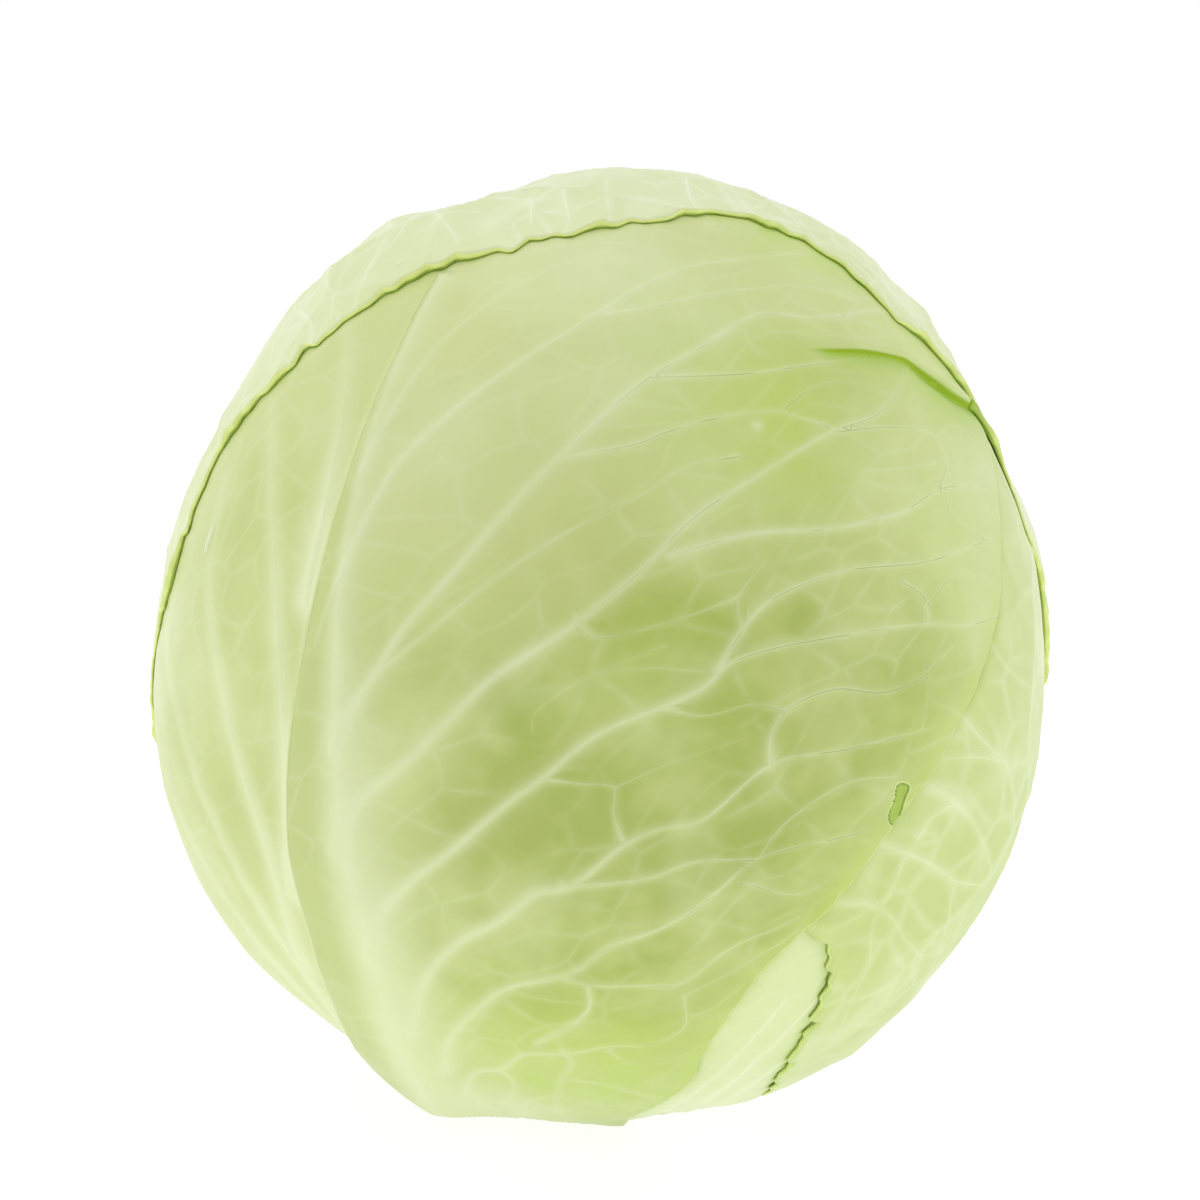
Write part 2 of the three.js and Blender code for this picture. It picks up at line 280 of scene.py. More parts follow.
def degrees_from(place, ways):
    """The angle between a place on the head and each way, in degrees."""
    return np.degrees(np.arccos(np.clip(ways @ towards(place)[0], -1, 1)))


def smooth(start, end, value):
    """Goes smoothly from 0 to 1 while value goes from start to end."""
    share = np.clip((value - start) / (end - start), 0, 1)
    return share * share * (3 - 2 * share)


def curve_through(points, steps, closed=False):
    """A smooth line through points, in any number of dimensions, with some steps between each two."""
    points = np.asarray(points, float)
    if closed:
        padded = np.vstack([points[-1:], points, points[:2]])
    else:
        padded = np.vstack([2 * points[:1] - points[1:2], points, 2 * points[-1:] - points[-2:-1]])
    stretches = []
    for k in range(1, len(padded) - 2):
        p0, p1, p2, p3 = padded[k - 1:k + 3]
        t1 = np.linalg.norm(p1 - p0) ** 0.5
        t2 = t1 + np.linalg.norm(p2 - p1) ** 0.5
        t3 = t2 + np.linalg.norm(p3 - p2) ** 0.5
        t = np.linspace(t1, t2, steps, endpoint=False)[:, None]
        a1 = p0 + t / t1 * (p1 - p0)
        a2 = p1 + (t - t1) / (t2 - t1) * (p2 - p1)
        a3 = p2 + (t - t2) / (t3 - t2) * (p3 - p2)
        b1 = a1 + t / t2 * (a2 - a1)
        b2 = a2 + (t - t1) / (t3 - t1) * (a3 - a2)
        stretches.append(b1 + (t - t1) / (t2 - t1) * (b2 - b1))
    line = np.vstack(stretches)
    return line if closed else np.vstack([line, points[-1:]])


def line_on_head(places, steps=24):
    """A smooth line through places on the head, as unit vectors."""
    line = curve_through(towards(places), steps)
    return line / np.linalg.norm(line, axis=1, keepdims=True)


def beside(line, ways):
    """How far along a line the nearest place is, from 0 to 1, and how far to its right, in mm."""
    forward = np.gradient(line, axis=0)
    right = np.cross(forward, line)
    right /= np.linalg.norm(right, axis=1, keepdims=True)
    nearest = np.empty(len(ways), int)
    for start in range(0, len(ways), 20000):
        part = slice(start, start + 20000)
        nearest[part] = (ways[part] @ line.T).argmax(axis=1)
    offset = ways - line[nearest]
    aside = np.einsum("ij,ij->i", offset, right[nearest])
    away = np.linalg.norm(offset, axis=1)
    past_end = (nearest == 0) | (nearest == len(line) - 1)
    aside = np.where(past_end, np.copysign(away, aside), aside)
    return nearest / (len(line) - 1), aside * HEAD_RADIUS


def radius_to_level(ways, level):
    """How far out a level above the table is reached."""
    down = np.maximum(-ways[:, 2], 1e-6)
    return np.where(ways[:, 2] < -0.5, (EQUATOR_HEIGHT - level) / down, np.inf)


# High on the right the head has a pleat: below this line the leaves are pressed in, this deep.
PLEAT = [(36, 47, 0.0), (40, 46.8, 0.5), (44, 46.5, 0.9), (50, 46, 1.2), (56, 44.8, 0.9),
         (59, 44, 1.2), (63, 42, 1.9), (68, 39.6, 2.3), (74, 37.4, 1.8), (80, 35.5, 0.3)]
PLEAT_LINE = line_on_head(PLEAT)
PLEAT_DEPTH = curve_through([[depth] for _, _, depth in PLEAT], 24)[:, 0]
PLEAT_WIDTH = 3.5


def pleat_at(ways):
    """How deep the pleat is where its line is nearest, 0 past its ends, and how far below it, in mm."""
    along, aside = beside(PLEAT_LINE, ways)
    depth = np.interp(along, np.linspace(0, 1, len(PLEAT_DEPTH)), PLEAT_DEPTH)
    return depth * (along > 0.002) * (along < 0.998), aside


def pleat(ways):
    """How far in the leaves are pressed: at once below the line, and then less and less."""
    depth, aside = pleat_at(ways)
    return depth * smooth(-0.7, 0.9, aside) * np.exp(-np.maximum(aside, 0) / PLEAT_WIDTH)


# The head is a little lopsided: each swell or flat has its place, its rise and how far it spreads.
SWELLS = [(-90, 20, -2.2, 26), (-88, 38, -1.6, 9), (94, 34, -2.2, 12), (88, 58, 0.8, 8),
          (-92, 77, -2.6, 8), (-86, 67, 1.3, 4), (-88, 57, -0.9, 4), (-82, 62, 1.0, 9),
          (90, 78, 1.2, 8), (90, 66, 1.9, 5), (88, 48, 1.0, 4),
          (-64, -50, -1.2, 8), (71, -51, 1.5, 9), (57, -62, 1.6, 9),
          (180, 10, 1.0, 30), (-130, 40, -1.5, 16), (140, 30, -1.5, 14), (165, -30, -1.2, 16)]
LEAN = 0.013  # how far its top leans to the right, for each millimetre above the middle


def core_radius(ways):
    """The ball that the outer leaves wrap: taller above its widest level, flattened underneath."""
    half_height = np.where(ways[:, 2] > 0, CORE_RISE, EQUATOR_HEIGHT)
    across = np.hypot(ways[:, 0], ways[:, 1]) / CORE_RADIUS
    ball = 1 / np.hypot(across, ways[:, 2] / half_height)
    for lon, lat, rise, spread in SWELLS:
        ball += rise * np.exp(-(degrees_from((lon, lat), ways) / spread) ** 2)
    ball += LEAN * HEAD_RADIUS * ways[:, 0] * np.maximum(ways[:, 2], 0)
    return np.minimum(ball, radius_to_level(ways, CORE_CLEARANCE)) - pleat(ways)


def uneven(bearing, waves, seed):
    """A wavy number round a leaf's edge, about as much above 0 as below."""
    chance = np.random.default_rng(seed)
    wavy = np.zeros(len(bearing))
    for count in waves:
        wavy += math.sqrt(1 / len(waves)) * np.sin(count * bearing + chance.uniform(0, 6.28))
    return wavy


class OuterLeaf:
    """One leaf's place in the wrapping: its middle, its edge, and the line of its rib.

    Its own coordinates are a bearing from north round its middle, and an angle out from there.
    """

    def __init__(self, middle, edge, rib, rib_rise, rib_widths, rib_crest=0.0, foot_lift=0.0, cut=0.3):
        lon = math.radians(middle[0])
        self.middle = towards(middle)[0]
        self.east = np.array([math.cos(lon), math.sin(lon), 0.0])
        self.north = np.cross(self.middle, self.east)
        self.rib_line = line_on_head(rib, 60)
        self.rib_rise = rib_rise
        self.rib_widths = rib_widths
        self.rib_crest = rib_crest
        self.foot_lift = foot_lift
        self.cut = cut
        self.seed = 10 + round(abs(middle[0]))
        bearing, out = self.locate(towards(edge))
        flat = np.stack([out * np.sin(bearing), out * np.cos(bearing)], axis=-1)
        outline = curve_through(flat, 40, closed=True)
        edge_bearing = np.arctan2(outline[:, 0], outline[:, 1])
        order = np.argsort(edge_bearing)
        self.edge_bearing = edge_bearing[order]
        self.edge_out = np.hypot(outline[:, 0], outline[:, 1])[order]

    def crest_at(self, along):
        """How far right of its line the rib's crest lies, in mm: the two run together at the tip."""
        return self.rib_crest * (1 - smooth(0.5, 0.95, along))

    def locate(self, ways):
        out = np.degrees(np.arccos(np.clip(ways @ self.middle, -1, 1)))
        return np.arctan2(ways @ self.east, ways @ self.north), out

    def ways(self, bearing, out):
        across = np.sin(np.radians(out))[:, None]
        return (np.cos(np.radians(out))[:, None] * self.middle
                + across * np.cos(bearing)[:, None] * self.north
                + across * np.sin(bearing)[:, None] * self.east)

    def edge_at(self, bearing):
        return np.interp(bearing, self.edge_bearing, self.edge_out, period=2 * np.pi)

    def ragged_edge(self, bearing):
        """Its edge with the small scallops and tears."""
        torn = self.cut * uneven(bearing, (23, 37, 47, 61, 73, 89, 101, 127), self.seed)
        return self.edge_at(bearing) + torn / DEGREE_LENGTH

    def out_to(self, latitude, bearing):
        """The angle out at which a bearing comes down to a latitude, or infinity if it never does."""
        along = self.north[2] * np.cos(bearing)
        cosine = math.sin(math.radians(latitude)) / np.hypot(self.middle[2], along)
        found = np.degrees(np.arctan2(along, self.middle[2]) + np.arccos(np.clip(cosine, -1, 1)))
        return np.where(cosine < -1, np.inf, found)

    def cover(self, ways, grown, fade):
        """1 on the leaf, and on to this many degrees beyond its edge, fading to 0 at fade degrees."""
        bearing, out = self.locate(ways)
        return 1 - smooth(grown, fade, out - self.edge_at(bearing))


OUTER_LEAVES = {
    "leaf_back_right": OuterLeaf(
        middle=(143, -55),
        edge=[(114, -50), (128, -34), (150, -34), (166, -48), (170, -66), (168, FOOT),
              (143, FOOT), (118, FOOT), (108, -64)],
        rib=[(142, -77), (143, -60), (143, -40)],
        rib_rise=3.0, rib_widths=(9.0, 9.0), foot_lift=2.0),
    "leaf_back_left": OuterLeaf(
        middle=(-138, -50),
        edge=[(-98, -44), (-112, -26), (-140, -20), (-162, -34), (-172, -52), (-172, -68),
              (-168, FOOT), (-130, FOOT), (-100, FOOT), (-92, -62)],
        rib=[(-132, -77), (-136, -60), (-138, -30)],
        rib_rise=3.0, rib_widths=(9.0, 9.0), foot_lift=2.0),
    "leaf_pale_front": OuterLeaf(
        middle=(40, -44),
        edge=[(2, -40), (14, -20), (36, -8), (64, -16), (84, -40), (92, -60), (88, FOOT),
              (45, FOOT), (4, FOOT), (-6, -60)],
        rib=[(50, -77), (54, -60), (58, -30)],
        rib_rise=2.0, rib_widths=(9.0, 9.0), foot_lift=0.6),
    "leaf_right": OuterLeaf(
        middle=(92, -6),
        edge=[(27, -22), (14, -8), (20, 10), (36, 32), (54, 48), (80, 58), (112, 52), (136, 36),
              (148, 12), (148, -14), (142, -38), (134, -56), (127, -67), (124, FOOT),
              (104, FOOT), (86, FOOT), (66, -68), (45, -57), (38, -47), (35, -37), (33, -28)],
        rib=[(106, -77), (104, -50), (100, -20), (97, 10), (95, 40)],
        rib_rise=4.0, rib_widths=(8.0, 8.0), cut=0.9),
    "leaf_front": OuterLeaf(
        middle=(-20, 0),
        edge=[(13, -65), (18, -50), (18, -42), (23, -27), (31, -18), (38, -9), (46, -1),
              (56, 10), (65, 23), (77, 36), (80, 48), (76, 64), (50, 80), (0, 84), (-50, 78),
              (-80, 62), (-96, 42), (-104, 22), (-114, 0), (-126, -22), (-134, -42),
              (-128, -58), (-114, -69), (-100, FOOT), (-40, FOOT), (8, FOOT)],
        rib=[(-68, -76), (-66, -67), (-56, -57), (-46, -45), (-40, -28), (-39, -12), (-37, 3),
             (-35, 20), (-34, 42), (-35, 59)],
        rib_rise=9.0, rib_widths=(3.6, 17.0), rib_crest=15.0, cut=0.2),
    "leaf_crown": OuterLeaf(
        middle=(180, 20),
        edge=[(-73, 13), (-69, 30), (-57, 45), (-38, 59), (-14, 65), (17, 69), (51, 69),
              (64, 62), (66, 50), (74, 42), (77, 34), (79, 20), (84, 12), (92, -8), (104, -25),
              (120, -44), (136, -58), (150, -70), (160, FOOT), (180, FOOT), (-160, FOOT),
              (-147, -70), (-134, -58), (-120, -48), (-104, -30), (-88, -8)],
        rib=[(180, -76), (179, -50), (177, -15), (180, 20), (-178, 55), (-160, 80), (-30, 76)],
        rib_rise=4.5, rib_widths=(10.0, 10.0), cut=0.75),
}
LEAF_ORDER = list(OUTER_LEAVES)  # from the innermost to the outermost

LAP_SPREAD = (2, 9)  # a leaf lifts those over it to the first of these beyond its edge, in degrees
PRESSED_SPREAD = (-1, 2)  # and it presses flat whatever stands out on those under it


def pressed(name, ways):
    """1 where nothing lies over a leaf, and 0 where another leaf presses it flat."""
    share = np.ones(len(ways))
    for above in LEAF_ORDER[LEAF_ORDER.index(name) + 1:]:
        share *= 1 - OUTER_LEAVES[above].cover(ways, *PRESSED_SPREAD)
    return share


def rib_height(name, ways):
    """The rib is highest at the stem and thins towards the tip. Its crest may lie right of its line."""
    leaf = OUTER_LEAVES[name]
    along, aside = beside(leaf.rib_line, ways)
    crest = leaf.crest_at(along)
    widths = np.where(aside < 0, *leaf.rib_widths) * (1 - 0.72 * along ** 0.7)
    beyond = np.where(aside < 0, -aside, np.maximum(aside - crest, 0))
    inside = np.clip(1 - aside / np.maximum(crest, 0.1), 0, 1) * (crest > 0)
    profile = (1 - 0.4 * inside ** 2) * np.exp(-1.8 * (beyond / widths) ** 1.5)
    rise = leaf.rib_rise * (0.1 + 0.9 * (1 - along) ** 2.5) * (0.35 + 0.65 * smooth(0, 0.2, along))
    return rise * profile * (along < 0.999)


# The foot isn't flat all round: the longitude of each place where it stands off the table, how
# far it stands off, and how far round that spreads.
FOOT_RISES = [(-78, 2.4, 18), (-38, 6.0, 20), (-12, 2.6, 17), (62, 4.6, 30), (150, 2.0, 25),
              (-140, 1.5, 20)]


def foot_level(ways):
    """How far above the table the underside is, out from the stem."""
    lon = np.degrees(np.arctan2(ways[:, 0], -ways[:, 1]))
    off_stem = np.degrees(np.arccos(np.clip(-ways[:, 2], -1, 1)))
    level = np.zeros(len(ways))
    for place, rise, spread in FOOT_RISES:
        level += rise * np.exp(-(((lon - place + 180) % 360 - 180) / spread) ** 2)
    return level * smooth(8, 20, off_stem)


def wrapped_radius(name, ways, skin, rib_share=1.0):
    """How far out a leaf's skin lies: 0 for its inner face, LEAF_THICKNESS for its outer one."""
    leaf = OUTER_LEAVES[name]
    radius = core_radius(ways) + LEAF_GAP + skin
    for under in LEAF_ORDER[:LEAF_ORDER.index(name)]:
        radius += LAP_PITCH * OUTER_LEAVES[under].cover(ways, *LAP_SPREAD)
    footed = radius_to_level(ways, leaf.foot_lift + LEAF_THICKNESS - skin + foot_level(ways))
    latitude = np.degrees(np.arcsin(ways[:, 2]))
    flare = 1 - smooth(FOOT_FLARE[1], FOOT_FLARE[0], latitude)
    on_foot = np.where(flare > 0, footed, 0)
    radius = radius * (1 - flare) + on_foot * flare
    if rib_share > 0:
        radius += rib_share * rib_height(name, ways) * pressed(name, ways)
    return np.minimum(radius, footed)


def disc_grid(cells):
    """A square grid laid over a disc: each point's share of the way out, and its bearing."""
    steps = np.linspace(-1, 1, cells + 1)
    u, v = (grid.ravel() for grid in np.meshgrid(steps, steps))
    share = np.maximum(np.abs(u), np.abs(v))
    safe = np.where(share > 0, share, 1)
    upright = np.abs(v) >= np.abs(u)
    by_v = np.where(v < 0, np.pi, 0) + u / np.where(v < 0, -safe, safe) * np.pi / 4
    by_u = np.sign(u) * np.pi / 2 - v / np.where(u < 0, -safe, safe) * np.pi / 4
    return share, np.where(upright, by_v, by_u)


def rim_walk(cells):
    """The grid's border points in order round it, as row and column."""
    k = np.arange(cells)
    rows = np.concatenate([0 * k, k, cells + 0 * k, cells - k])
    columns = np.concatenate([k, cells + 0 * k, cells - k, 0 * k])
    return rows * (cells + 1) + columns


INNER_COARSENESS = 4  # the hidden inner face has one cell to this many of the outer one
CENTRE_FINENESS = 0.85  # cells are this much smaller at a leaf's middle
RIM_BULGE = 0.12  # how far the rounded rim stands beyond the two faces, in mm


def leaf_points(name, share, bearing, skin, lift, bulge=0.0, shaped=None):
    """Places on one skin of a leaf, with the directions they lie in and how far in they are, in mm."""
    leaf = OUTER_LEAVES[name]
    edge = np.minimum(leaf.ragged_edge(bearing), leaf.out_to(FOOT, bearing))
    centred = share * (CENTRE_FINENESS + (1 - CENTRE_FINENESS) * share ** 2)
    out = edge * centred + bulge / DEGREE_LENGTH
    ways = leaf.ways(bearing, out)
    inwards = (edge - out) * DEGREE_LENGTH
    radius = wrapped_radius(name, ways, skin, rib_share=max(skin, 0) / LEAF_THICKNESS)
    raised = lift * (0.5 + 0.5 * uneven(bearing, (9, 14, 23, 37), leaf.seed + 1)).clip(0, 1.4)
    off_foot = smooth(2, 12, CENTRE[2] + radius * ways[:, 2])
    radius += raised * np.exp(-np.maximum(inwards, 0) / 4.0) * off_foot
    points = CENTRE + ways * radius[:, None]
    if shaped is not None:
        points = shaped(points, ways, skin)
    return points, ways, inwards


def stored(mesh, name, values):
    """Keeps a value, or three together, at each of a mesh's points."""
    values = np.asarray(values, float)
    kind, key = ("FLOAT_VECTOR", "vector") if values.ndim == 2 else ("FLOAT", "value")
    mesh.attributes.new(name, kind, "POINT").data.foreach_set(key, values.ravel())


NET_TURN = {"leaf_front": 28, "leaf_right": -10, "leaf_crown": 10}  # the way its cells run, in degrees
NET_STRETCH = {"leaf_front": 1.6, "leaf_right": 1.15, "leaf_crown": 1.15}


def net_places(name, ways):
    """Flat places on a leaf, in mm, turned and squeezed so that round cells become long ones."""
    leaf = OUTER_LEAVES[name]
    bearing, out = leaf.locate(ways)
    turn = math.radians(NET_TURN.get(name, 0))
    x = out * DEGREE_LENGTH * np.sin(bearing)
    y = out * DEGREE_LENGTH * np.cos(bearing)
    along = x * math.cos(turn) + y * math.sin(turn)
    across = y * math.cos(turn) - x * math.sin(turn)
    along += 1.6 * np.sin(across / 7.0 + 1.0) + 1.0 * np.sin(across / 3.1)
    across += 1.4 * np.sin(along / 9.0) + 0.8 * np.sin(along / 4.3 + 2.0)
    return np.stack([along / NET_STRETCH.get(name, 1.0), across, 0 * along], axis=-1)


FAR_OFF = 12.0  # what a distance to an edge or a cut is set to where there is none near, in mm


def outline_distance(name, ways, outline):
    """How far places on a leaf lie from a small closed outline, in mm, and below 0 inside it."""
    leaf = OUTER_LEAVES[name]

    def flat(places):
        bearing, out = leaf.locate(places)
        return out[:, None] * DEGREE_LENGTH * np.stack([np.sin(bearing), np.cos(bearing)], axis=-1)

    ring = curve_through(flat(towards(outline)), 6, closed=True)
    here = flat(ways)
    distance = np.full(len(ways), FAR_OFF)
    close = np.where(np.linalg.norm(here - ring.mean(axis=0), axis=1) < FAR_OFF)[0]
    steps = ring - here[close, None]
    angle = np.arctan2(steps[:, :, 1], steps[:, :, 0])
    turned = np.diff(angle, axis=1, append=angle[:, :1])
    winding = np.abs(((turned + np.pi) % (2 * np.pi) - np.pi).sum(axis=1))
    away = np.linalg.norm(steps, axis=2).min(axis=1)
    distance[close] = np.where(winding > np.pi, -away, away)
    return distance


STRONGEST_PATCH = 1.4


def patchwork(ways, patches):
    """Soft round patches: each has its place, how far it spreads and how strong it is."""
    whole = np.zeros(len(ways))
    for lon, lat, spread, strength in patches:
        whole += strength * np.exp(-(degrees_from((lon, lat), ways) / spread) ** 2)
    return whole.clip(0, STRONGEST_PATCH)


def shell_faces(cells):
    """The faces of a leaf: a fine outer grid, a rim round it, and a coarser inner grid."""
    coarse = cells // INNER_COARSENESS
    side = cells + 1
    rows, columns = (grid.ravel() for grid in np.mgrid[0:cells, 0:cells])
    a = rows * side + columns
    faces = np.stack([a, a + 1, a + side + 1, a + side], axis=-1).tolist()
    first_rim = side * side
    rim_at = first_rim + np.arange(4 * cells)
    walk = rim_walk(cells)
    faces += np.stack([walk, rim_at, np.roll(rim_at, -1), np.roll(walk, -1)], axis=-1).tolist()
    first_inner = first_rim + 4 * cells
    inner_walk = first_inner + rim_walk(coarse)
    for k in range(4 * coarse):
        here, there = inner_walk[k], inner_walk[(k + 1) % len(inner_walk)]
        fan = rim_at[(INNER_COARSENESS * k + np.arange(INNER_COARSENESS, 0, -1)) % (4 * cells)]
        faces.append([int(rim_at[INNER_COARSENESS * k]), int(here), int(there), *fan.tolist()])
    rows, columns = (grid.ravel() for grid in np.mgrid[0:coarse, 0:coarse])
    a = first_inner + rows * (coarse + 1) + columns
    return faces + np.stack([a, a + coarse + 1, a + coarse + 2, a + 1], axis=-1).tolist()


def rib_marks(name, ways):
    """How far right of the rib's line places are, how much on the rib, and how far along it.

    With them come the pale flank beside a crest, and how near the rib the flesh is.
    """
    leaf = OUTER_LEAVES[name]
    along, aside = beside(leaf.rib_line, ways)
    crest = leaf.crest_at(along)
    left, right = (width * (1 - 0.88 * np.sqrt(along)) for width in leaf.rib_widths)
    if leaf.rib_crest:
        on_rib = 1 - smooth(0.35 * crest, 0.9 * crest + 1.0, aside)
        off_crest = (aside - crest) / (np.where(aside < crest, 0.36, 0.46) * crest + 0.4)
        flank = np.exp(-off_crest ** 2) * (0.25 + 0.75 * smooth(0.75, 0.3, along))
    else:
        on_rib = smooth(-0.25 * left, 0, aside) * (1 - smooth(0.42 * right, 0.7 * right, aside))
        flank = 0 * aside
    beyond = np.where(aside < 0, -aside, np.maximum(aside - np.maximum(crest, 0.55 * right), 0))
    near = np.exp(-beyond / (2 + 5 * (1 - along))) * (1 - on_rib)
    return np.stack([aside, on_rib, along], axis=-1), flank, near


def lap_distance(name, ways):
    """How far beyond the edges of the leaves that lie over this one places are, in mm."""
    distance = np.full(len(ways), FAR_OFF)
    for above in LEAF_ORDER[LEAF_ORDER.index(name) + 1:]:
        over = OUTER_LEAVES[above]
        bearing, out = over.locate(ways)
        distance = np.minimum(distance, (out - over.ragged_edge(bearing)) * DEGREE_LENGTH)
    return distance


def leaf_shell(name, cells, lift, shaped=None, deep=(), fresh=(), warm=(), light=(), creased=(), cuts=()):
    """A leaf as a closed shell: a fine outer skin, a rounded rim, and a coarser inner skin.

    What its relief and its colours go by is stored at its points.
    """
    walk = rim_walk(cells)
    share, bearing = disc_grid(cells)
    inner_share, inner_bearing = disc_grid(cells // INNER_COARSENESS)
    settings = dict(lift=lift, shaped=shaped)
    outer = leaf_points(name, share, bearing, LEAF_THICKNESS, **settings)
    rim = leaf_points(name, share[walk], bearing[walk], LEAF_THICKNESS / 2, bulge=RIM_BULGE, **settings)
    inner = leaf_points(name, inner_share, inner_bearing, 0.0, **settings)
    points, ways, inwards = (np.concatenate(parts) for parts in zip(outer, rim, inner))
    mesh = bpy.data.meshes.new(name)
    mesh.from_pydata(points * MM, [], shell_faces(cells))
    mesh.shade_smooth()

    skin = np.repeat([1.0, 0.5, 0.0], [len(outer[0]), len(rim[0]), len(inner[0])])
    free = skin * pressed(name, ways) * smooth(0.5, 6, points[:, 2])
    rib, flank, rib_near = rib_marks(name, ways)
    foot_near = 1 - smooth(2, 34, points[:, 2])
    pleat_depth, below_pleat = pleat_at(ways)
    # What the painted shade in the pleat and below the edges of overlying leaves goes by
    tucked_shade = (lap_distance(name, ways), below_pleat, pleat_depth / PLEAT_DEPTH.max())
    cut = np.full(len(ways), FAR_OFF)
    for outline in cuts:
        cut = np.minimum(cut, outline_distance(name, ways, outline))
    stored(mesh, "grow", ways * free[:, None])
    stored(mesh, "net place", net_places(name, ways))
    stored(mesh, "tone", np.stack([rib_near, inwards, foot_near], axis=-1))
    stored(mesh, "rib", rib)
    stored(mesh, "flank", flank)
    stored(mesh, "skin", skin)
    stored(mesh, "creased", patchwork(ways, creased))
    stored(mesh, "light", patchwork(ways, light))
    stored(mesh, "cut", cut)
    stored(mesh, "tucked_shade", np.stack(tucked_shade, axis=-1))
    stored(mesh, "patch", np.stack([patchwork(ways, spots) for spots in (deep, fresh, warm)], axis=-1))
    return mesh


def pinnate_veins(name, pairs, seed, reach=75, first=0.1, last=0.88):
    """Side veins in pairs along a leaf's rib, leaving it at a slant and bending towards the tip."""
    leaf = OUTER_LEAVES[name]
    bearing, out = leaf.locate(leaf.rib_line)
    rib = np.stack([out * np.sin(bearing), out * np.cos(bearing)], axis=-1)
    chance = np.random.default_rng(seed)
    veins = []
    for k in range(pairs):
        for side in (-1, 1):
            share = first + (last - first) * (k + chance.uniform(-0.2, 0.2) + 0.25 * side) / pairs
            at = int(np.clip(share, 0.03, 0.97) * (len(rib) - 1))
            tipward = rib[min(at + 12, len(rib) - 1)] - rib[max(at - 12, 0)]
            tipward /= np.linalg.norm(tipward)
            outward = side * np.array([tipward[1], -tipward[0]])
            length = reach * (1 - 0.45 * share) * chance.uniform(0.85, 1.05)
            s = np.linspace(0, 1, 9)[:, None]
            wander = 1.2 * np.sin(7 * s + chance.uniform(0, 6)) * s
            line = rib[at] + length * (s * (0.78 * outward + 0.45 * tipward) + 0.3 * s ** 2 * tipward)
            line = line + wander * tipward
            veins.append((0.75, 0.2, line))
            fork = line[4:5] + 0.42 * length * s * (0.5 * outward + (0.95 - 0.5 * s) * tipward)
            veins.append((0.4, 0.12, fork))
    lines = []
    for start, end, flat in veins:
        ways = leaf.ways(np.arctan2(flat[:, 0], flat[:, 1]), np.hypot(flat[:, 0], flat[:, 1]))
        lines.append((start, end, ways))
    return lines


JOIN_REACH = 5.0  # a branch leaves its vein as wide as it, and narrows over this many mm


def vein_wires(name, veins):
    """All of a leaf's veins as one object of edges, with each point's size and its tipward side.

    A vein is its size at its start and at its end, and the places that it runs through.
    """
    leaf = OUTER_LEAVES[name]
    tipward = leaf.rib_line[-1] - leaf.rib_line[0]
    points, edges, sizes, sides = [], [], [], []

    def joined(way, size):
        """The size of the vein that a place lies on, or the given one where it lies on none."""
        if not points:
            return size
        at = CENTRE + way * wrapped_radius(name, way[None], LEAF_THICKNESS)
        away = np.linalg.norm(np.array(points) - at, axis=1)
        return max(size, sizes[away.argmin()]) if away.min() < JOIN_REACH else size

    for start, end, places in veins:
        ways = towards(places) if np.shape(places)[1] == 2 else np.asarray(places)
        line = curve_through(ways, 10)
        line /= np.linalg.norm(line, axis=1, keepdims=True)
        side = np.cross(line, np.gradient(line, axis=0))
        side /= np.linalg.norm(side, axis=1, keepdims=True)
        side *= np.sign((side @ tipward).sum())
        run = np.concatenate([[0], np.linalg.norm(np.diff(line, axis=0), axis=1).cumsum()]) * HEAD_RADIUS
        size = np.linspace(start, end, len(line))
        size += (joined(line[0], start) - start) * np.exp(-run / JOIN_REACH)
        size += (joined(line[-1], end) - end) * np.exp((run - run[-1]) / JOIN_REACH)
        first = len(points)
        points.extend(CENTRE + line * wrapped_radius(name, line, LEAF_THICKNESS)[:, None])
        edges.extend((k, k + 1) for k in range(first, len(points) - 1))
        sizes.extend(size)
        sides.extend(side)
    mesh = bpy.data.meshes.new(f"{name} veins")
    mesh.from_pydata(np.array(points) * MM, edges, [])
    stored(mesh, "size", sizes)
    stored(mesh, "tip side", sides)
    wires = bpy.data.objects.new(f"{name} veins", mesh)
    bpy.context.scene.collection.objects.link(wires)
    return wires


def net_lines(tree, place, size):
    """How far places are from the lines of a net with cells of about this size."""
    inputs = {"Vector": place, "Scale": work_out(tree, "DIVIDE", 1.0, size)}
    return add_node(tree, "ShaderNodeTexVoronoi", inputs, feature="DISTANCE_TO_EDGE",
                    voronoi_dimensions="2D").outputs["Distance"]


PANEL_DRIFT = (0.012, 0.012, 0.012)  # how far, in metres, the creases between panels stray


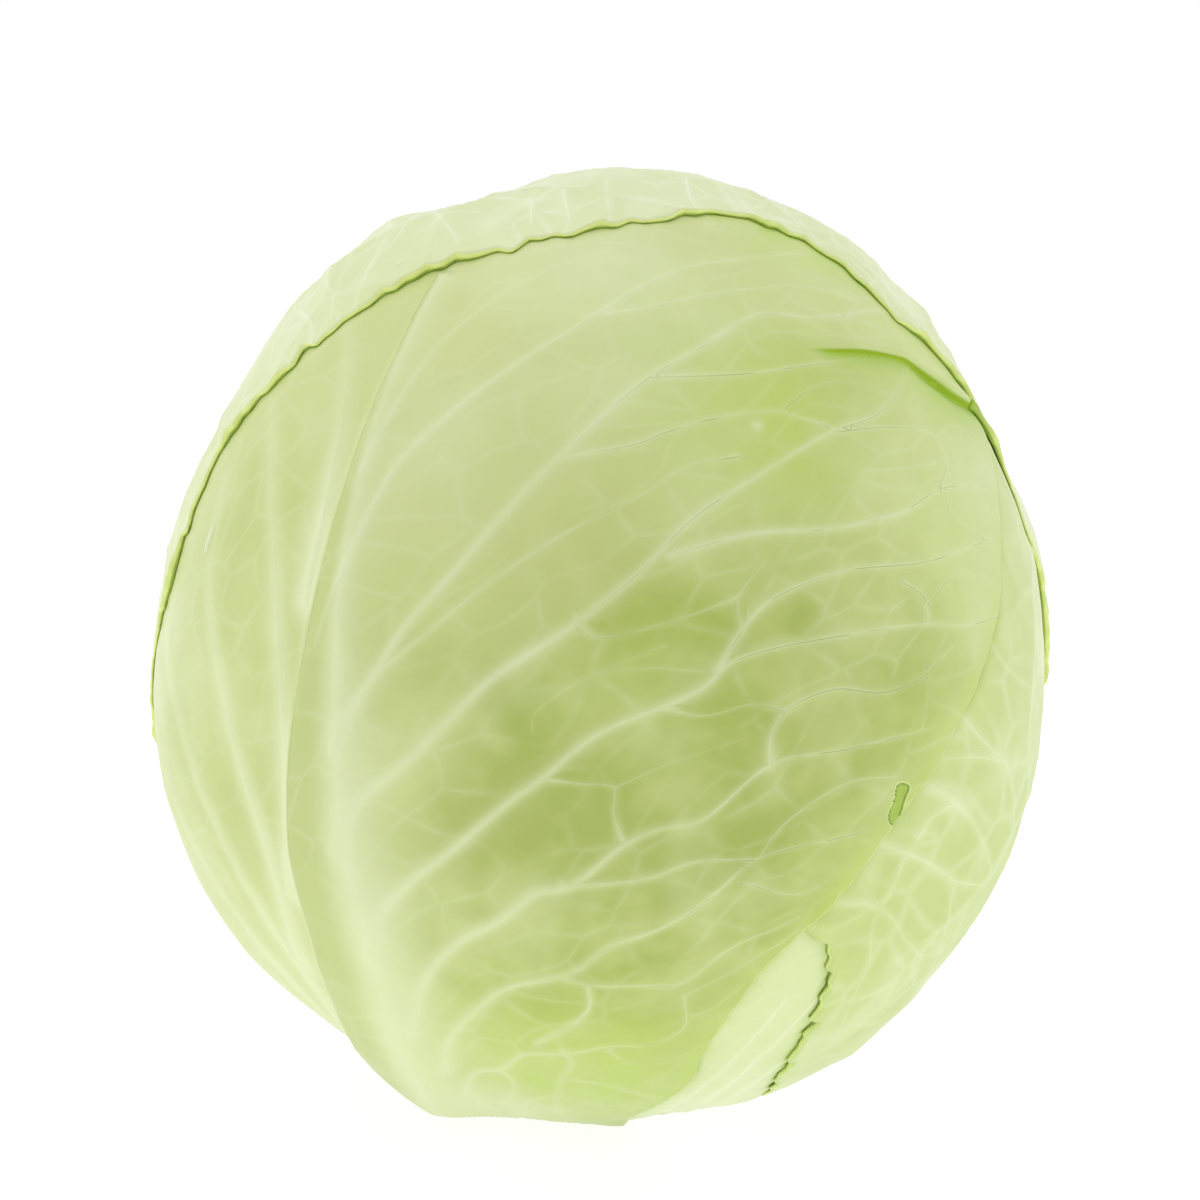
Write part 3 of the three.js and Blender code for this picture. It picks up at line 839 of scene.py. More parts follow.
def relief_tree():
    """Raises a leaf's skin along its veins, along the fine net between them and in soft waves."""
    tree = bpy.data.node_groups.new("leaf relief", "GeometryNodeTree")
    add = tree.interface.new_socket
    add("Leaf", in_out="INPUT", socket_type="NodeSocketGeometry")
    add("Veins", in_out="INPUT", socket_type="NodeSocketObject")
    add("Skin", in_out="INPUT", socket_type="NodeSocketMaterial")
    numbers = {"Crest Height": 0.0003, "Crest Width": 0.0008, "Shoulder Height": 0.0003,
               "Shoulder Width": 0.004, "Net Size": 9.0, "Net Height": 0.0001, "Net Width": 0.08,
               "Panel Size": 0.035, "Panel Height": 0.0005, "Wave Size": 0.02,
               "Wave Height": 0.0003, "Seed": 1.0}
    for label, value in numbers.items():
        add(label, in_out="INPUT", socket_type="NodeSocketFloat").default_value = value
    add("Leaf", in_out="OUTPUT", socket_type="NodeSocketGeometry")
    into = tree.nodes.new("NodeGroupInput").outputs
    out = tree.nodes.new("NodeGroupOutput")
    times, plus, sums = (partial(step, tree) for step in (product, total, work_out))

    def on_leaf(label, kind="FLOAT_VECTOR"):
        """A value that the leaf's points, or the veins', hold."""
        named = add_node(tree, "GeometryNodeInputNamedAttribute", {"Name": label}, data_type=kind)
        return named.outputs["Attribute"]

    def vector_sum(operation, *values):
        return add_node(tree, "ShaderNodeVectorMath", dict(enumerate(values)), operation=operation).outputs

    def puffs(size, detail):
        inputs = {"Vector": here, "W": into["Seed"], "Scale": sums("DIVIDE", 1.0, size), "Detail": detail}
        return add_node(tree, "ShaderNodeTexNoise", inputs, noise_dimensions="4D").outputs

    here = tree.nodes.new("GeometryNodeInputPosition").outputs["Position"]
    wires = add_node(tree, "GeometryNodeObjectInfo", {"Object": into["Veins"]}).outputs["Geometry"]
    nearest = add_node(tree, "GeometryNodeProximity", {0: wires}, target_element="EDGES").outputs
    point = add_node(tree, "GeometryNodeSampleNearest", {"Geometry": wires, "Sample Position": here})

    def on_vein(label, kind):
        """A value that the nearest point of a vein holds."""
        inputs = {"Geometry": wires, "Value": on_leaf(label, kind), "Index": point.outputs[0]}
        return add_node(tree, "GeometryNodeSampleIndex", inputs, data_type=kind).outputs["Value"]

    # How far the nearest vein is, on which side of it the place lies, and how big it is
    size = on_vein("size", "FLOAT")
    away = nearest["Distance"]
    offset = vector_sum("SUBTRACT", here, nearest["Position"])[0]
    tipwards = vector_sum("DOT_PRODUCT", offset, on_vein("tip side", "FLOAT_VECTOR"))["Value"]
    signed = times(sums("SIGN", tipwards), away)
    parts = {"X": sums("DIVIDE", signed, MM), "Y": sums("DIVIDE", away, MM), "Z": size}
    vein = add_node(tree, "ShaderNodeCombineXYZ", parts).outputs[0]

    # A vein is a narrow crest on a broad, soft shoulder
    across = sums("DIVIDE", away, into["Crest Width"])
    crest = times(sums("EXPONENT", times(across, across, -1.0)), into["Crest Height"])
    slope = sums("DIVIDE", away, into["Shoulder Width"])
    shoulder = times(sums("EXPONENT", times(slope, -1.0)), into["Shoulder Height"])
    veined = times(size, plus(crest, shoulder))

    net = grade(tree, net_lines(tree, on_leaf("net place"), into["Net Size"]), 0.0, into["Net Width"])
    netted = times(sums("SUBTRACT", 1.0, net), into["Net Height"])

    # The flesh between the veins swells in soft waves, and creases where its panels meet
    wave = sums("SUBTRACT", puffs(into["Wave Size"], 2.0)[0], 0.5)
    wave = times(wave, 2.0, into["Wave Height"])
    drift = vector_sum("MULTIPLY_ADD", puffs(into["Panel Size"], 1.0)["Color"], PANEL_DRIFT, here)[0]
    panel = add_node(tree, "ShaderNodeTexVoronoi",
                     {"Vector": drift, "Scale": sums("DIVIDE", 1.0, into["Panel Size"])},
                     feature="DISTANCE_TO_EDGE").outputs["Distance"]
    crease = times(sums("EXPONENT", times(panel, -7.0)), into["Panel Height"])

    height = plus(plus(veined, netted), plus(wave, crease))
    rise = add_node(tree, "ShaderNodeVectorMath", {0: on_leaf("grow"), "Scale": height}, operation="SCALE")
    kept = add_node(tree, "GeometryNodeStoreNamedAttribute",
                    {"Geometry": into["Leaf"], "Name": "vein", "Value": vein}, data_type="FLOAT_VECTOR")
    raised = add_node(tree, "GeometryNodeSetPosition",
                      {"Geometry": kept.outputs[0], "Offset": rise.outputs[0]})
    real = add_node(tree, "GeometryNodeRealizeInstances", {"Geometry": raised.outputs[0]})
    skinned = add_node(tree, "GeometryNodeSetMaterial",
                       {"Geometry": real.outputs[0], "Material": into["Skin"]})
    tree.links.new(skinned.outputs[0], out.inputs[0])
    return tree


leaf_relief = relief_tree()


def grow_leaf(name, mesh, veins, skin, slot, **sizes):
    """Finishes a leaf: its relief is raised, made a plain mesh, and put in its CAD node's place."""
    leaf = bpy.data.objects.new(f"{name}_skin", mesh)
    bpy.context.scene.collection.objects.link(leaf)
    wires = vein_wires(name, veins)
    relief = leaf.modifiers.new("relief", "NODES")
    relief.node_group = leaf_relief
    sockets = {item.name: item.identifier for item in leaf_relief.interface.items_tree
               if item.in_out == "INPUT"}
    relief[sockets["Veins"]] = wires
    relief[sockets["Skin"]] = skin
    for label, value in sizes.items():
        relief[sockets[label.replace("_", " ").title()]] = value
    bpy.context.view_layer.update()
    depsgraph = bpy.context.evaluated_depsgraph_get()
    grown = bpy.data.meshes.new_from_object(leaf.evaluated_get(depsgraph), depsgraph=depsgraph)
    leaf.modifiers.clear()
    leaf.data = grown
    grown.name = name
    bpy.data.meshes.remove(mesh)
    bpy.data.objects.remove(wires)
    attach(leaf, "root")
    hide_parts(name)


CUT_FLESH = "a6c04a"  # where a nick goes in
CUT_SHADOW = "5d7a1a"  # along its foot
# Painted shadow line in the narrow gap under an overlying edge and along the pleat's fold
GAP_SHADOW_GREEN = "90ae06"  # in the narrow gap under an edge and in the pleat


def leaf_colour_group():
    """A leaf's colours: green panels, paler round the veins, and a bright line at the very edge.

    The distances stored on a leaf are in mm, and so are the widths here. Clouds are in metres.
    """
    numbers = {"Band Width": 1.7, "Band Strength": 0.7, "Line Width": 0.26, "Line Strength": 0.85,
               "Hair Strength": 0.5, "Net Size": 9.0, "Net Width": 0.06, "Net Strength": 0.5,
               "Soft Net": 0.3, "Shade Share": 0.5, "Warm Veins": 0.2, "Blotch Size": 0.022,
               "Rim Width": 0.25, "Edge Green": 0.5, "Foot Paleness": 0.7, "Bloom": 0.15,
               "Fan Softness": 0.0, "Crease Edge": 0.0}
    colours = ("Panel", "Shade", "Fresh", "Warm", "Pale", "Vein", "Rib", "Rim", "Hair", "Tucked Shade")
    tree, into, out = start_group("leaf colour", numbers, colours, FLESH_RESULTS)
    into = into.outputs
    where = tree.nodes.new("ShaderNodeTexCoord").outputs["Object"]
    times, ramp, sums = (partial(step, tree) for step in (product, grade, work_out))
    plus = partial(total, tree, clamp=True)
    puffs = partial(cloud, tree, where)

    def mark(label, part="Fac"):
        return add_node(tree, "ShaderNodeAttribute", attribute_name=label).outputs[part]

    def marks(label):
        return add_node(tree, "ShaderNodeSeparateXYZ", {0: mark(label, "Vector")}).outputs

    def fading(value):
        """1 at 0, and less and less beyond."""
        return sums("EXPONENT", times(value, -1.0))

    signed, near, size = marks("vein")
    rib_near, inwards, foot_near = marks("tone")
    beside_rib, on_rib, along_rib = marks("rib")
    deep, fresh, warm = marks("patch")
    lap, below_fold, fold_depth = marks("tucked_shade")
    cut = mark("cut")

    # The pale flesh round each vein, and the vein's own bright line. Left of the rib the veins
    # fan out side by side and are softer.
    fan = times(ramp(beside_rib, 0.0, -1.5), into["Fan Softness"])
    past_crease = sums("MAXIMUM", ramp(beside_rib, -0.4, 0.2), sums("SUBTRACT", 1.0, into["Crease Edge"]))
    spread = times(into["Band Width"], plus(times(size, 0.8), 0.25, fan, clamp=False))
    slope = sums("DIVIDE", near, spread)
    band = times(sums("EXPONENT", times(slope, slope, -1.0)), ramp(size, 0.0, 0.8))
    halo = times(sums("EXPONENT", times(slope, -0.45)), ramp(size, 0.3, 1.0))
    aside = sums("ABSOLUTE", signed)
    width = times(into["Line Width"], plus(times(size, size, 2.4), 0.5, clamp=False))
    beside_line = ramp(near, 2.0, 1.5)
    whole_line = times(ramp(aside, times(width, 1.8), times(width, 0.2)), beside_line)
    patchy = plus(times(ramp(puffs(0.016, 1.0, 0.3), 0.36, 0.58), 0.7), 0.3)
    by_size = times(ramp(size, 0.0, 0.5, 0.1, 0.85), ramp(size, 0.5, 1.0, 1.0, 0.65))
    line = times(whole_line, by_size, patchy, ramp(fan, 0.0, 1.0, 1.0, 0.25), into["Line Strength"])

    # Painted shade: a fine dark line along the crest of some veins, where a crease runs
    off_crest = sums("ABSOLUTE", sums("ADD", signed, 0.1))
    crisp = times(ramp(size, 0.85, 0.45, 0.4, 1.0), ramp(size, 0.2, 0.35), mark("creased"))
    creased = ramp(puffs(0.011, 1.0, 0.7), 0.45, 0.56)
    crease_shade = times(ramp(off_crest, 0.15, 0.03), beside_line, creased, crisp, into["Hair Strength"])

    # Panels between the veins: deeper away from them, uneven, greener towards the leaf's edge
    blotch = ramp(puffs(into["Blotch Size"], 2.0), 0.31, 0.69)
    mottle = ramp(puffs(0.006, 1.0, 0.6), 0.3, 0.7)
    unevenness = plus(times(blotch, 0.6), times(mottle, 0.2), 0.44, clamp=False)
    shade = times(plus(into["Shade Share"], deep), unevenness)
    edge_band = times(ramp(inwards, 6.0, 1.0), into["Edge Green"])
    fresh = times(plus(fresh, edge_band), plus(times(blotch, 0.5), 0.6))
    warm = times(plus(warm, times(halo, into["Warm Veins"])), plus(times(mottle, 0.5), 0.5))
    pale = plus(times(rib_near, 0.7),
                times(band, into["Band Strength"], ramp(fan, 0.0, 1.0, 1.0, 2.0)),
                times(halo, 0.25),
                times(foot_near, into["Foot Paleness"], 0.8),
                # Whitish waxy bloom, partly painted sheen
                times(ramp(puffs(0.017, 1.0, 0.5), 0.5, 0.7), into["Bloom"]),
                # The light patches: partly pale flesh, partly painted light and sheen
                times(mark("light"), plus(times(mottle, 0.5), 0.7)))

    # The fine net of small veins, crisp in places and soft in others
    net = net_lines(tree, mark("net place", "Vector"), into["Net Size"])
    net_cloud = puffs(0.022, 1.0, 0.9)
    netted = times(ramp(net, into["Net Width"], times(into["Net Width"], 0.2)), into["Net Strength"],
                   ramp(net_cloud, 0.35, 0.6), ramp(near, 0.5, 3.0))
    soft_net = times(ramp(net, times(into["Net Width"], 3.0), 0.0), into["Soft Net"],
                     ramp(net_cloud, 0.35, 0.6, 0.3, 1.0))

    # Painted shade: deep green in the pleat, in the strip below the edge of a leaf that lies over this one,
    # and over the inner face, and a darker painted shadow line in the gap under that edge and along the
    # pleat's fold
    fold_reach = plus(times(fold_depth, 7.0), 0.3, clamp=False)
    fold = times(ramp(below_fold, -0.4, 0.2), fading(sums("DIVIDE", below_fold, fold_reach)),
                 ramp(fold_depth, 0.0, 0.3))
    lap_beyond = sums("MAXIMUM", lap, 0.0)
    lap_fade = plus(times(fading(times(lap_beyond, 1.3)), 0.7), times(fading(times(lap_beyond, 0.4)), 0.3))
    tucked_shade = plus(fold, times(lap_fade, ramp(puffs(0.018, 1.0, 0.15), 0.38, 0.6, 0.25, 1.0)))
    fold_shadow_line = times(ramp(below_fold, -0.25, 0.1), ramp(below_fold, 0.7, 0.25), ramp(fold_depth, 0.1, 0.4))
    gap_shadow_line = plus(times(ramp(lap, 0.4, 0.1), 0.75), times(fold_shadow_line, 0.85))
    under_rim = ramp(mark("skin"), 0.5, 0.3)

    # The rib, its pale flank, which hides the lines of the veins, and the painted shade of the fine crease
    # on its left
    flank = times(mark("flank"), past_crease)
    line = times(line, sums("SUBTRACT", 1.0, flank))
    along_crease = times(ramp(along_rib, 0.998, 0.99), ramp(along_rib, 0.1, 0.3))
    rib_crease = times(ramp(sums("ABSOLUTE", beside_rib), 0.4, 0.1), along_crease, 0.3)

    # The edge, and the lip and the foot of a nick
    rim = ramp(inwards, into["Rim Width"], times(into["Rim Width"], 0.3))
    cut_lip = times(ramp(cut, 0.1, 0.3), ramp(cut, 0.8, 0.5), 0.45)
    cut_foot = ramp(sums("ABSOLUTE", sums("SUBTRACT", cut, 0.05)), 0.3, 0.1, 0.0, 0.7)

    colour = into["Panel"]
    for share, over in (
            (shade, into["Shade"]),
            (fresh, into["Fresh"]),
            (warm, into["Warm"]),
            (pale, into["Pale"]),
            (times(on_rib, past_crease, 0.85), into["Rib"]),
            (times(flank, 0.8), into["Pale"]),
            (rib_crease, into["Hair"]),
            (soft_net, into["Pale"]),
            (plus(netted, line), into["Vein"]),
            # Painted shade of the fine creases along the veins
            (crease_shade, into["Hair"]),
            (plus(rim, cut_lip), into["Rim"]),
            (ramp(cut, 0.15, -0.05), tint(CUT_FLESH)),
            (cut_foot, tint(CUT_SHADOW)),
            # Painted shade in the pleat, below overlying edges and on the inner face
            (plus(tucked_shade, times(under_rim, 0.65)), into["Tucked Shade"]),
            # Painted shadow line in the gap under an overlying edge and along the pleat's fold
            (gap_shadow_line, tint(GAP_SHADOW_GREEN))):
        colour = blend_colours(tree, share, colour, over)

    rough = plus(ramp(blotch, 0.0, 1.0, 0.38, 0.44), times(line, -0.04), times(tucked_shade, 0.5), clamp=False)
    height = plus(times(whole_line, size, 0.06), times(puffs(0.0009, 1.0), 0.035), clamp=False)
    for value, socket in zip((colour, rough, height), out.inputs):
        tree.links.new(value, socket)
    return tree


leaf_colour = leaf_colour_group()


def leaf_skin(name, colours, **numbers):
    """A waxy leaf: its skin is dull green, and it gleams softly where it turns away."""
    material, tree, shader, _ = start_material(name)
    inputs = {label: tint(code) for label, code in colours.items()}
    inputs.update((label.replace("_", " ").title(), value) for label, value in numbers.items())
    surface = add_node(tree, "ShaderNodeGroup", inputs, node_tree=leaf_colour).outputs
    finish_surface(tree, shader, surface["Colour"], surface["Roughness"], surface["Height"],
                   strength=1.0, depth=0.001)
    shader.inputs["IOR"].default_value = 1.45
    shader.inputs["Sheen Weight"].default_value = 0.12
    shader.inputs["Sheen Roughness"].default_value = 0.4
    return material


# ---------------------------------------------------------------------------
# The two back leaves
#
# Short leaves tucked under the others at the foot of the back. Only a wedge of each is seen,
# between the leaves that lap over them, and it is pale because it was always covered.
# ---------------------------------------------------------------------------

under_skin = leaf_skin(
    "under leaf",
    {"Panel": "dbe4b4", "Shade": "cedba0", "Fresh": "cfe08f", "Warm": "dddcae", "Pale": "e6edc6",
     "Vein": "edf1d8", "Rib": "dde4b4", "Rim": "e3ecb4", "Hair": "b9c386", "Tucked Shade": "a9c257"},
    net_size=8.0, net_strength=0.3)

grow_leaf(
    "leaf_back_right",
    leaf_shell("leaf_back_right", 120, lift=0.3),
    pinnate_veins("leaf_back_right", 3, seed=11, reach=30),
    under_skin, "under_leaves", crest_height=0.0003, net_size=8.0, seed=1.0)
grow_leaf(
    "leaf_back_left",
    leaf_shell("leaf_back_left", 140, lift=0.3),
    pinnate_veins("leaf_back_left", 4, seed=12, reach=36),
    under_skin, "under_leaves", crest_height=0.0003, net_size=8.0, seed=2.0)


# ---------------------------------------------------------------------------
# The pale leaf
#
# The leaf under the front and the right one, seen as a narrow strip near the foot. It is
# nearly white, with straight veins that run up side by side.
# ---------------------------------------------------------------------------

pale_skin = leaf_skin(
    "pale leaf",
    {"Panel": "dae4ae", "Shade": "d0dda0", "Fresh": "d5e498", "Warm": "e0dfb4", "Pale": "e6edc8",
     "Vein": "eef2d8", "Rib": "dfe6b8", "Rim": "e6eebc", "Hair": "c3cd94", "Tucked Shade": "a9c257"},
    net_size=8.0, net_strength=0.1, soft_net=0.1, foot_paleness=0.9)
PALE_VEINS = [
    (0.7, 0.3, [(44, -76), (30, -64), (28, -54), (31, -42), (36, -30)]),
    (0.6, 0.3, [(46, -76), (37, -64), (36, -54), (38, -44), (43, -32)]),
    (0.6, 0.3, [(40, -76), (22, -66), (21, -56), (24, -46), (28, -34)]),
    (0.6, 0.3, [(52, -76), (48, -64), (49, -52), (54, -38)]),
    (0.5, 0.2, [(56, -76), (62, -66), (66, -54), (70, -40)]),
]
grow_leaf(
    "leaf_pale_front",
    leaf_shell("leaf_pale_front", 160, lift=0.3),
    PALE_VEINS,
    pale_skin, "pale_leaf", crest_height=0.00035, shoulder_height=0.0003, net_size=8.0, seed=3.0)


# ---------------------------------------------------------------------------
# The right leaf
#
# It wraps the right side, under the front leaf and the crown leaf. Its near edge was torn when
# the leaves outside it were pulled off, so it runs ragged down to the foot.
# ---------------------------------------------------------------------------

right_skin = leaf_skin(
    "right leaf",
    {"Panel": "c6d58a", "Shade": "b9cb76", "Fresh": "c8dc80", "Warm": "d6d4a0", "Pale": "dce5b6",
     "Vein": "e0e8bf", "Rib": "d8dfa8", "Rim": "d8e690", "Hair": "a9b76c", "Tucked Shade": "97b82a"},
    net_size=11.0, net_strength=0.1, soft_net=0.3, net_width=0.07, edge_green=0.2, bloom=0.4,
    band_width=1.9, band_strength=0.55, line_strength=0.5)
RIGHT_VEINS = [
    (0.6, 0.3, [(47, 3), (53, -2), (60, -6)]),
    (0.6, 0.35, [(41, -5), (50, -10), (59, -17), (66, -23)]),
    (0.6, 0.3, [(36, -12), (45, -16), (53, -20), (65, -23)]),
    (0.5, 0.3, [(30, -19), (36, -20), (40, -22), (46, -27), (53, -31)]),
    (0.4, 0.3, [(53, -20), (54, -24), (60, -32)]),
    (0.4, 0.3, [(40, -14), (39, -19), (38, -23), (40, -29)]),
    (0.4, 0.3, [(60, -6), (52, -4), (44, -3)]),
    (0.3, 0.3, [(42, -12), (44, -10), (48, -9)]),
    (0.35, 0.3, [(55, 10), (59, 6), (67, 2)]),
    (0.35, 0.3, [(60, -6), (66, -13), (68, -21)]),
    (0.3, 0.2, [(53, -31), (57, -32), (62, -33)]),
    (0.3, 0.2, [(40, -29), (41, -36), (46, -45)]),
    (0.3, 0.2, [(53, -31), (56, -38), (59, -44)]),
]
grow_leaf(
    "leaf_right",
    # The light patches near its right outline are painted sheen
    leaf_shell("leaf_right", 256, lift=0.25, light=[(80, 20, 12, 0.6), (68, -4, 8, 0.3)]),
    RIGHT_VEINS + pinnate_veins("leaf_right", 6, seed=14, reach=28),
    right_skin, "right_leaf", crest_height=0.00012, shoulder_height=0.0002, net_size=11.0,
    net_height=0.00008, panel_height=0.0008, seed=4.0)


# ---------------------------------------------------------------------------
# The front leaf
#
# The big leaf that faces forwards. Its rib climbs from the foot on the left, and long side
# veins cross it towards the right, forking as they go. Its far edge runs down the right side.
# ---------------------------------------------------------------------------

front_skin = leaf_skin(
    "front leaf",
    {"Panel": "cad58f", "Shade": "a4b357", "Fresh": "bbd166", "Warm": "cac783", "Pale": "d9e2b3",
     "Vein": "dbe2ba", "Rib": "bac67d", "Rim": "dcea8e", "Hair": "9aa763", "Tucked Shade": "96ba12"},
    net_size=9.0, net_strength=0.1, soft_net=0.1, net_width=0.05, edge_green=0.5, shade_share=0.1,
    hair_strength=0.7, foot_paleness=0.12, band_width=1.5, band_strength=0.4, line_strength=0.45,
    fan_softness=1.0, crease_edge=1.0)
FRONT_VEINS = [
    # the long side veins to the right of the rib, from the lowest up
    (0.9, 0.3, [(-27, -47), (-23, -40), (-17, -34), (-12, -30), (-3, -27), (2, -23), (7, -21), (12, -18),
                (19, -12), (33, -10)]),
    (0.75, 0.3, [(-29, -58), (-26, -52), (-22, -48), (-17, -47), (-12, -43), (-6, -42), (2, -40), (8, -40),
                 (13, -37), (12, -31)]),
    (1.0, 0.3, [(-28, -38), (-23, -29), (-17, -23), (-12, -20), (-7, -16), (-3, -15), (3, -10), (7, -8),
                (12, -7), (20, -1), (30, 0), (43, 1)]),
    (1.0, 0.3, [(-30, -26), (-27, -20), (-22, -15), (-18, -12), (-10, -5), (-6, -2), (0, 3), (12, 8),
                (16, 11), (31, 13), (42, 13), (50, 12), (57, 12)]),
    (1.0, 0.4, [(-32, -12), (-28, -6), (-22, -1), (-17, 4), (-12, 9), (-3, 15), (5, 21), (12, 27), (20, 31),
                (34, 36), (45, 38), (58, 43)]),
    (0.9, 0.4, [(-31, 0), (-29, 4), (-26, 9), (-23, 14), (-17, 21), (-12, 27), (-4, 35), (8, 44),
                (18, 48), (30, 52), (44, 51), (70, 50)]),
    (0.75, 0.3, [(-34, 12), (-31, 22), (-27, 33), (-15, 44), (-1, 52), (16, 59), (38, 61), (56, 61)]),
    (0.55, 0.2, [(-32, 32), (-30, 40), (-27, 48), (-22, 53), (-12, 59), (1, 63)]),
    # their forks
    (0.6, 0.4, [(-9, -40), (-1, -33), (-1, -29)]),
    (0.55, 0.3, [(-4, -28), (-1, -29), (5, -29), (11, -29), (17, -24), (26, -20)]),
    (0.6, 0.25, [(20, -1), (20, 2), (22, 5), (28, 7), (35, 6), (41, 7), (47, 10)]),
    (0.5, 0.35, [(-4, -15), (6, -14), (12, -12), (19, -12)]),
    (0.35, 0.25, [(19, -12), (22, -8), (30, -4), (37, -4)]),
    (0.7, 0.35, [(14, 10), (16, 13), (20, 17), (30, 20), (44, 20), (58, 21)]),
    (0.75, 0.35, [(9, 23), (19, 25), (31, 25), (42, 26), (51, 28), (64, 27)]),
    (0.6, 0.2, [(8, 44), (22, 44), (40, 45), (55, 45)]),
    (0.55, 0.35, [(-5, 34), (6, 36), (9, 37), (20, 39), (27, 39), (36, 36)]),
    (0.5, 0.2, [(-26, 9), (-21, 13), (-11, 21), (-1, 27), (6, 30), (12, 33), (19, 34)]),
    (0.45, 0.2, [(-2, 52), (12, 54), (34, 56), (45, 56), (56, 53)]),
    (0.35, 0.2, [(46, 51), (56, 49), (66, 43)]),
    # small cross veins between them
    (0.3, 0.3, [(51, 28), (55, 31), (55, 34), (45, 36), (35, 36)]),
    (0.15, 0.25, [(-7, 3), (-7, 5), (-5, 7), (0, 10), (8, 13)]),
    (0.3, 0.15, [(-2, 16), (0, 14), (10, 16), (17, 18)]),
    (0.2, 0.12, [(22, 5), (18, 6), (12, 5), (8, 6)]),
    (0.3, 0.2, [(18, -15), (25, -17), (30, -15)]),
    (0.2, 0.12, [(3, -9), (2, -6), (2, -3), (-2, -2.5), (-6, -2)]),
    (0.2, 0.15, [(2, -3), (9, 0), (16, 2)]),
    (0.55, 0.4, [(-5, -41), (-4, -44), (-6, -48), (-8, -54), (-10, -62)]),
    (0.45, 0.3, [(-6, -48), (2, -50), (8, -53), (14, -55)]),
    (0.45, 0.3, [(-8, -54), (-2, -57), (4, -58), (12, -60)]),
    (0.45, 0.3, [(-8, -54), (-14, -56), (-18, -60), (-20, -66)]),
    (0.3, 0.2, [(2, -41), (6, -44), (12, -44), (17, -41)]),
    (0.45, 0.3, [(-17, -47), (-16, -51), (-22, -59)]),
    (0.3, 0.2, [(12, -31), (19, -27), (26, -22)]),
    (0.25, 0.15, [(13, -35), (16, -34), (20, -30)]),
    (0.25, 0.15, [(17, 14), (17, 18), (21, 22)]),
    (0.3, 0.2, [(55, 34), (61, 35), (65, 34), (66, 30)]),
    (0.25, 0.2, [(37, 31), (45, 31), (52, 31)]),
    (0.3, 0.2, [(43, 15), (50, 18), (58, 16)]),
    (0.25, 0.15, [(52, 28), (52, 25), (59, 21)]),
    (0.3, 0.15, [(27, 39), (35, 42), (42, 42), (48, 40)]),
    (0.25, 0.15, [(41, 1), (42, 4), (42, 8)]),
    (0.25, 0.15, [(43, 13), (43, 16), (40, 18)]),
    # the fan to the left of the rib, nearly side by side with it
    (0.8, 0.3, [(-37, 16), (-37, 26), (-38, 34), (-40, 40), (-54, 53)]),
    (0.8, 0.3, [(-42, -20), (-39, -8), (-39, 2), (-42, 16), (-47, 27), (-57, 39)]),
    (0.8, 0.3, [(-46, -32), (-44, -16), (-49, 1), (-56, 14), (-62, 28)]),
    (0.7, 0.3, [(-54, -52), (-47, -37), (-49, -26), (-53, -17), (-57, -9), (-62, -1), (-70, 8)]),
    (0.7, 0.3, [(-58, -56), (-52, -46), (-54, -36), (-58, -28), (-62, -22), (-72, -10)]),
    (0.7, 0.3, [(-62, -60), (-64, -50), (-69, -40), (-78, -26), (-88, -14)]),
    (0.7, 0.3, [(-66, -64), (-76, -54), (-86, -44), (-96, -30), (-102, -16)]),
    (0.7, 0.2, [(-68, -67), (-88, -60), (-102, -50), (-112, -38), (-118, -26)]),
    (0.5, 0.2, [(-78, -26), (-90, -24), (-98, -20)]),
    (0.5, 0.2, [(-96, -30), (-106, -28), (-114, -20)]),
]

# Where its flesh is deep green, fresh bright green, warm and yellowish, or pale, and where a fine
# crease along its veins is painted as a dark line of shade: each patch has its place, how far it
# spreads in degrees, and its strength. The pale patches are partly pale flesh and partly painted light.
DEEP_PATCHES = [
    (12, -8, 32, 0.85), (6, 4, 14, 0.9), (-6, -10, 12, 0.3), (34, 10, 18, 0.4), (-3, -29, 11, 0.4),
    (7, 0, 9, 0.6), (-12, -24, 13, 0.45), (24, -28, 16, 0.4), (-24, 8, 10, 0.2), (32, 42, 10, 0.35),
    (-50, 30, 12, 0.3), (-56, 8, 14, 0.25), (-58, -12, 14, 0.25), (-30, -50, 8, 0.3)]
# (57, 62) is painted shade: saturated green on this leaf just under the crown leaf's edge
FRESH_PATCHES = [
    (24, 39, 11, 0.85), (-8, -44, 14, 0.6), (8, -42, 12, 0.3), (36, -16, 10, 0.5), (44, -2, 8, 0.4),
    (52, 20, 10, 0.3), (66, 42, 7, 0.7), (-8, -60, 14, 0.8), (57, 62, 6, 0.7), (6, 10, 12, 0.3)]
WARM_PATCHES = [(-4, 24, 10, 0.25), (-30, 30, 8, 0.3), (-22, 50, 10, 0.25)]
# Painted light among these: (-28, -62) on the foot where it curves under, and painted sheen at (-73, 8) and
# (70, 26) near the outline
PALE_AND_PAINTED_LIGHT_PATCHES = [
    (-22, 34, 12, 0.3), (10, 44, 8, 0.2), (-50, -36, 12, 0.25), (70, 26, 12, 0.5), (-27, 4, 9, 0.15),
    (-27, -18, 8, 0.2), (-73, 8, 12, 0.5), (2, 60, 10, 0.5), (-28, -62, 9, 0.8), (23, 37.5, 0.7, 0.8)]
CREASED_PATCHES = [
    (42, 16, 28, 1.0), (30, -14, 22, 0.9), (20, 40, 16, 0.7), (8, 14, 14, 0.5), (10, -34, 16, 0.7)]

# A small nick that goes part of the way through it, close to its right edge
NICK = [(37.5, -5), (39, -5.5), (38.5, -7), (38, -9), (37.5, -10), (36.5, -9), (37, -7)]
NICK_DEPTH = 0.7 * LEAF_THICKNESS


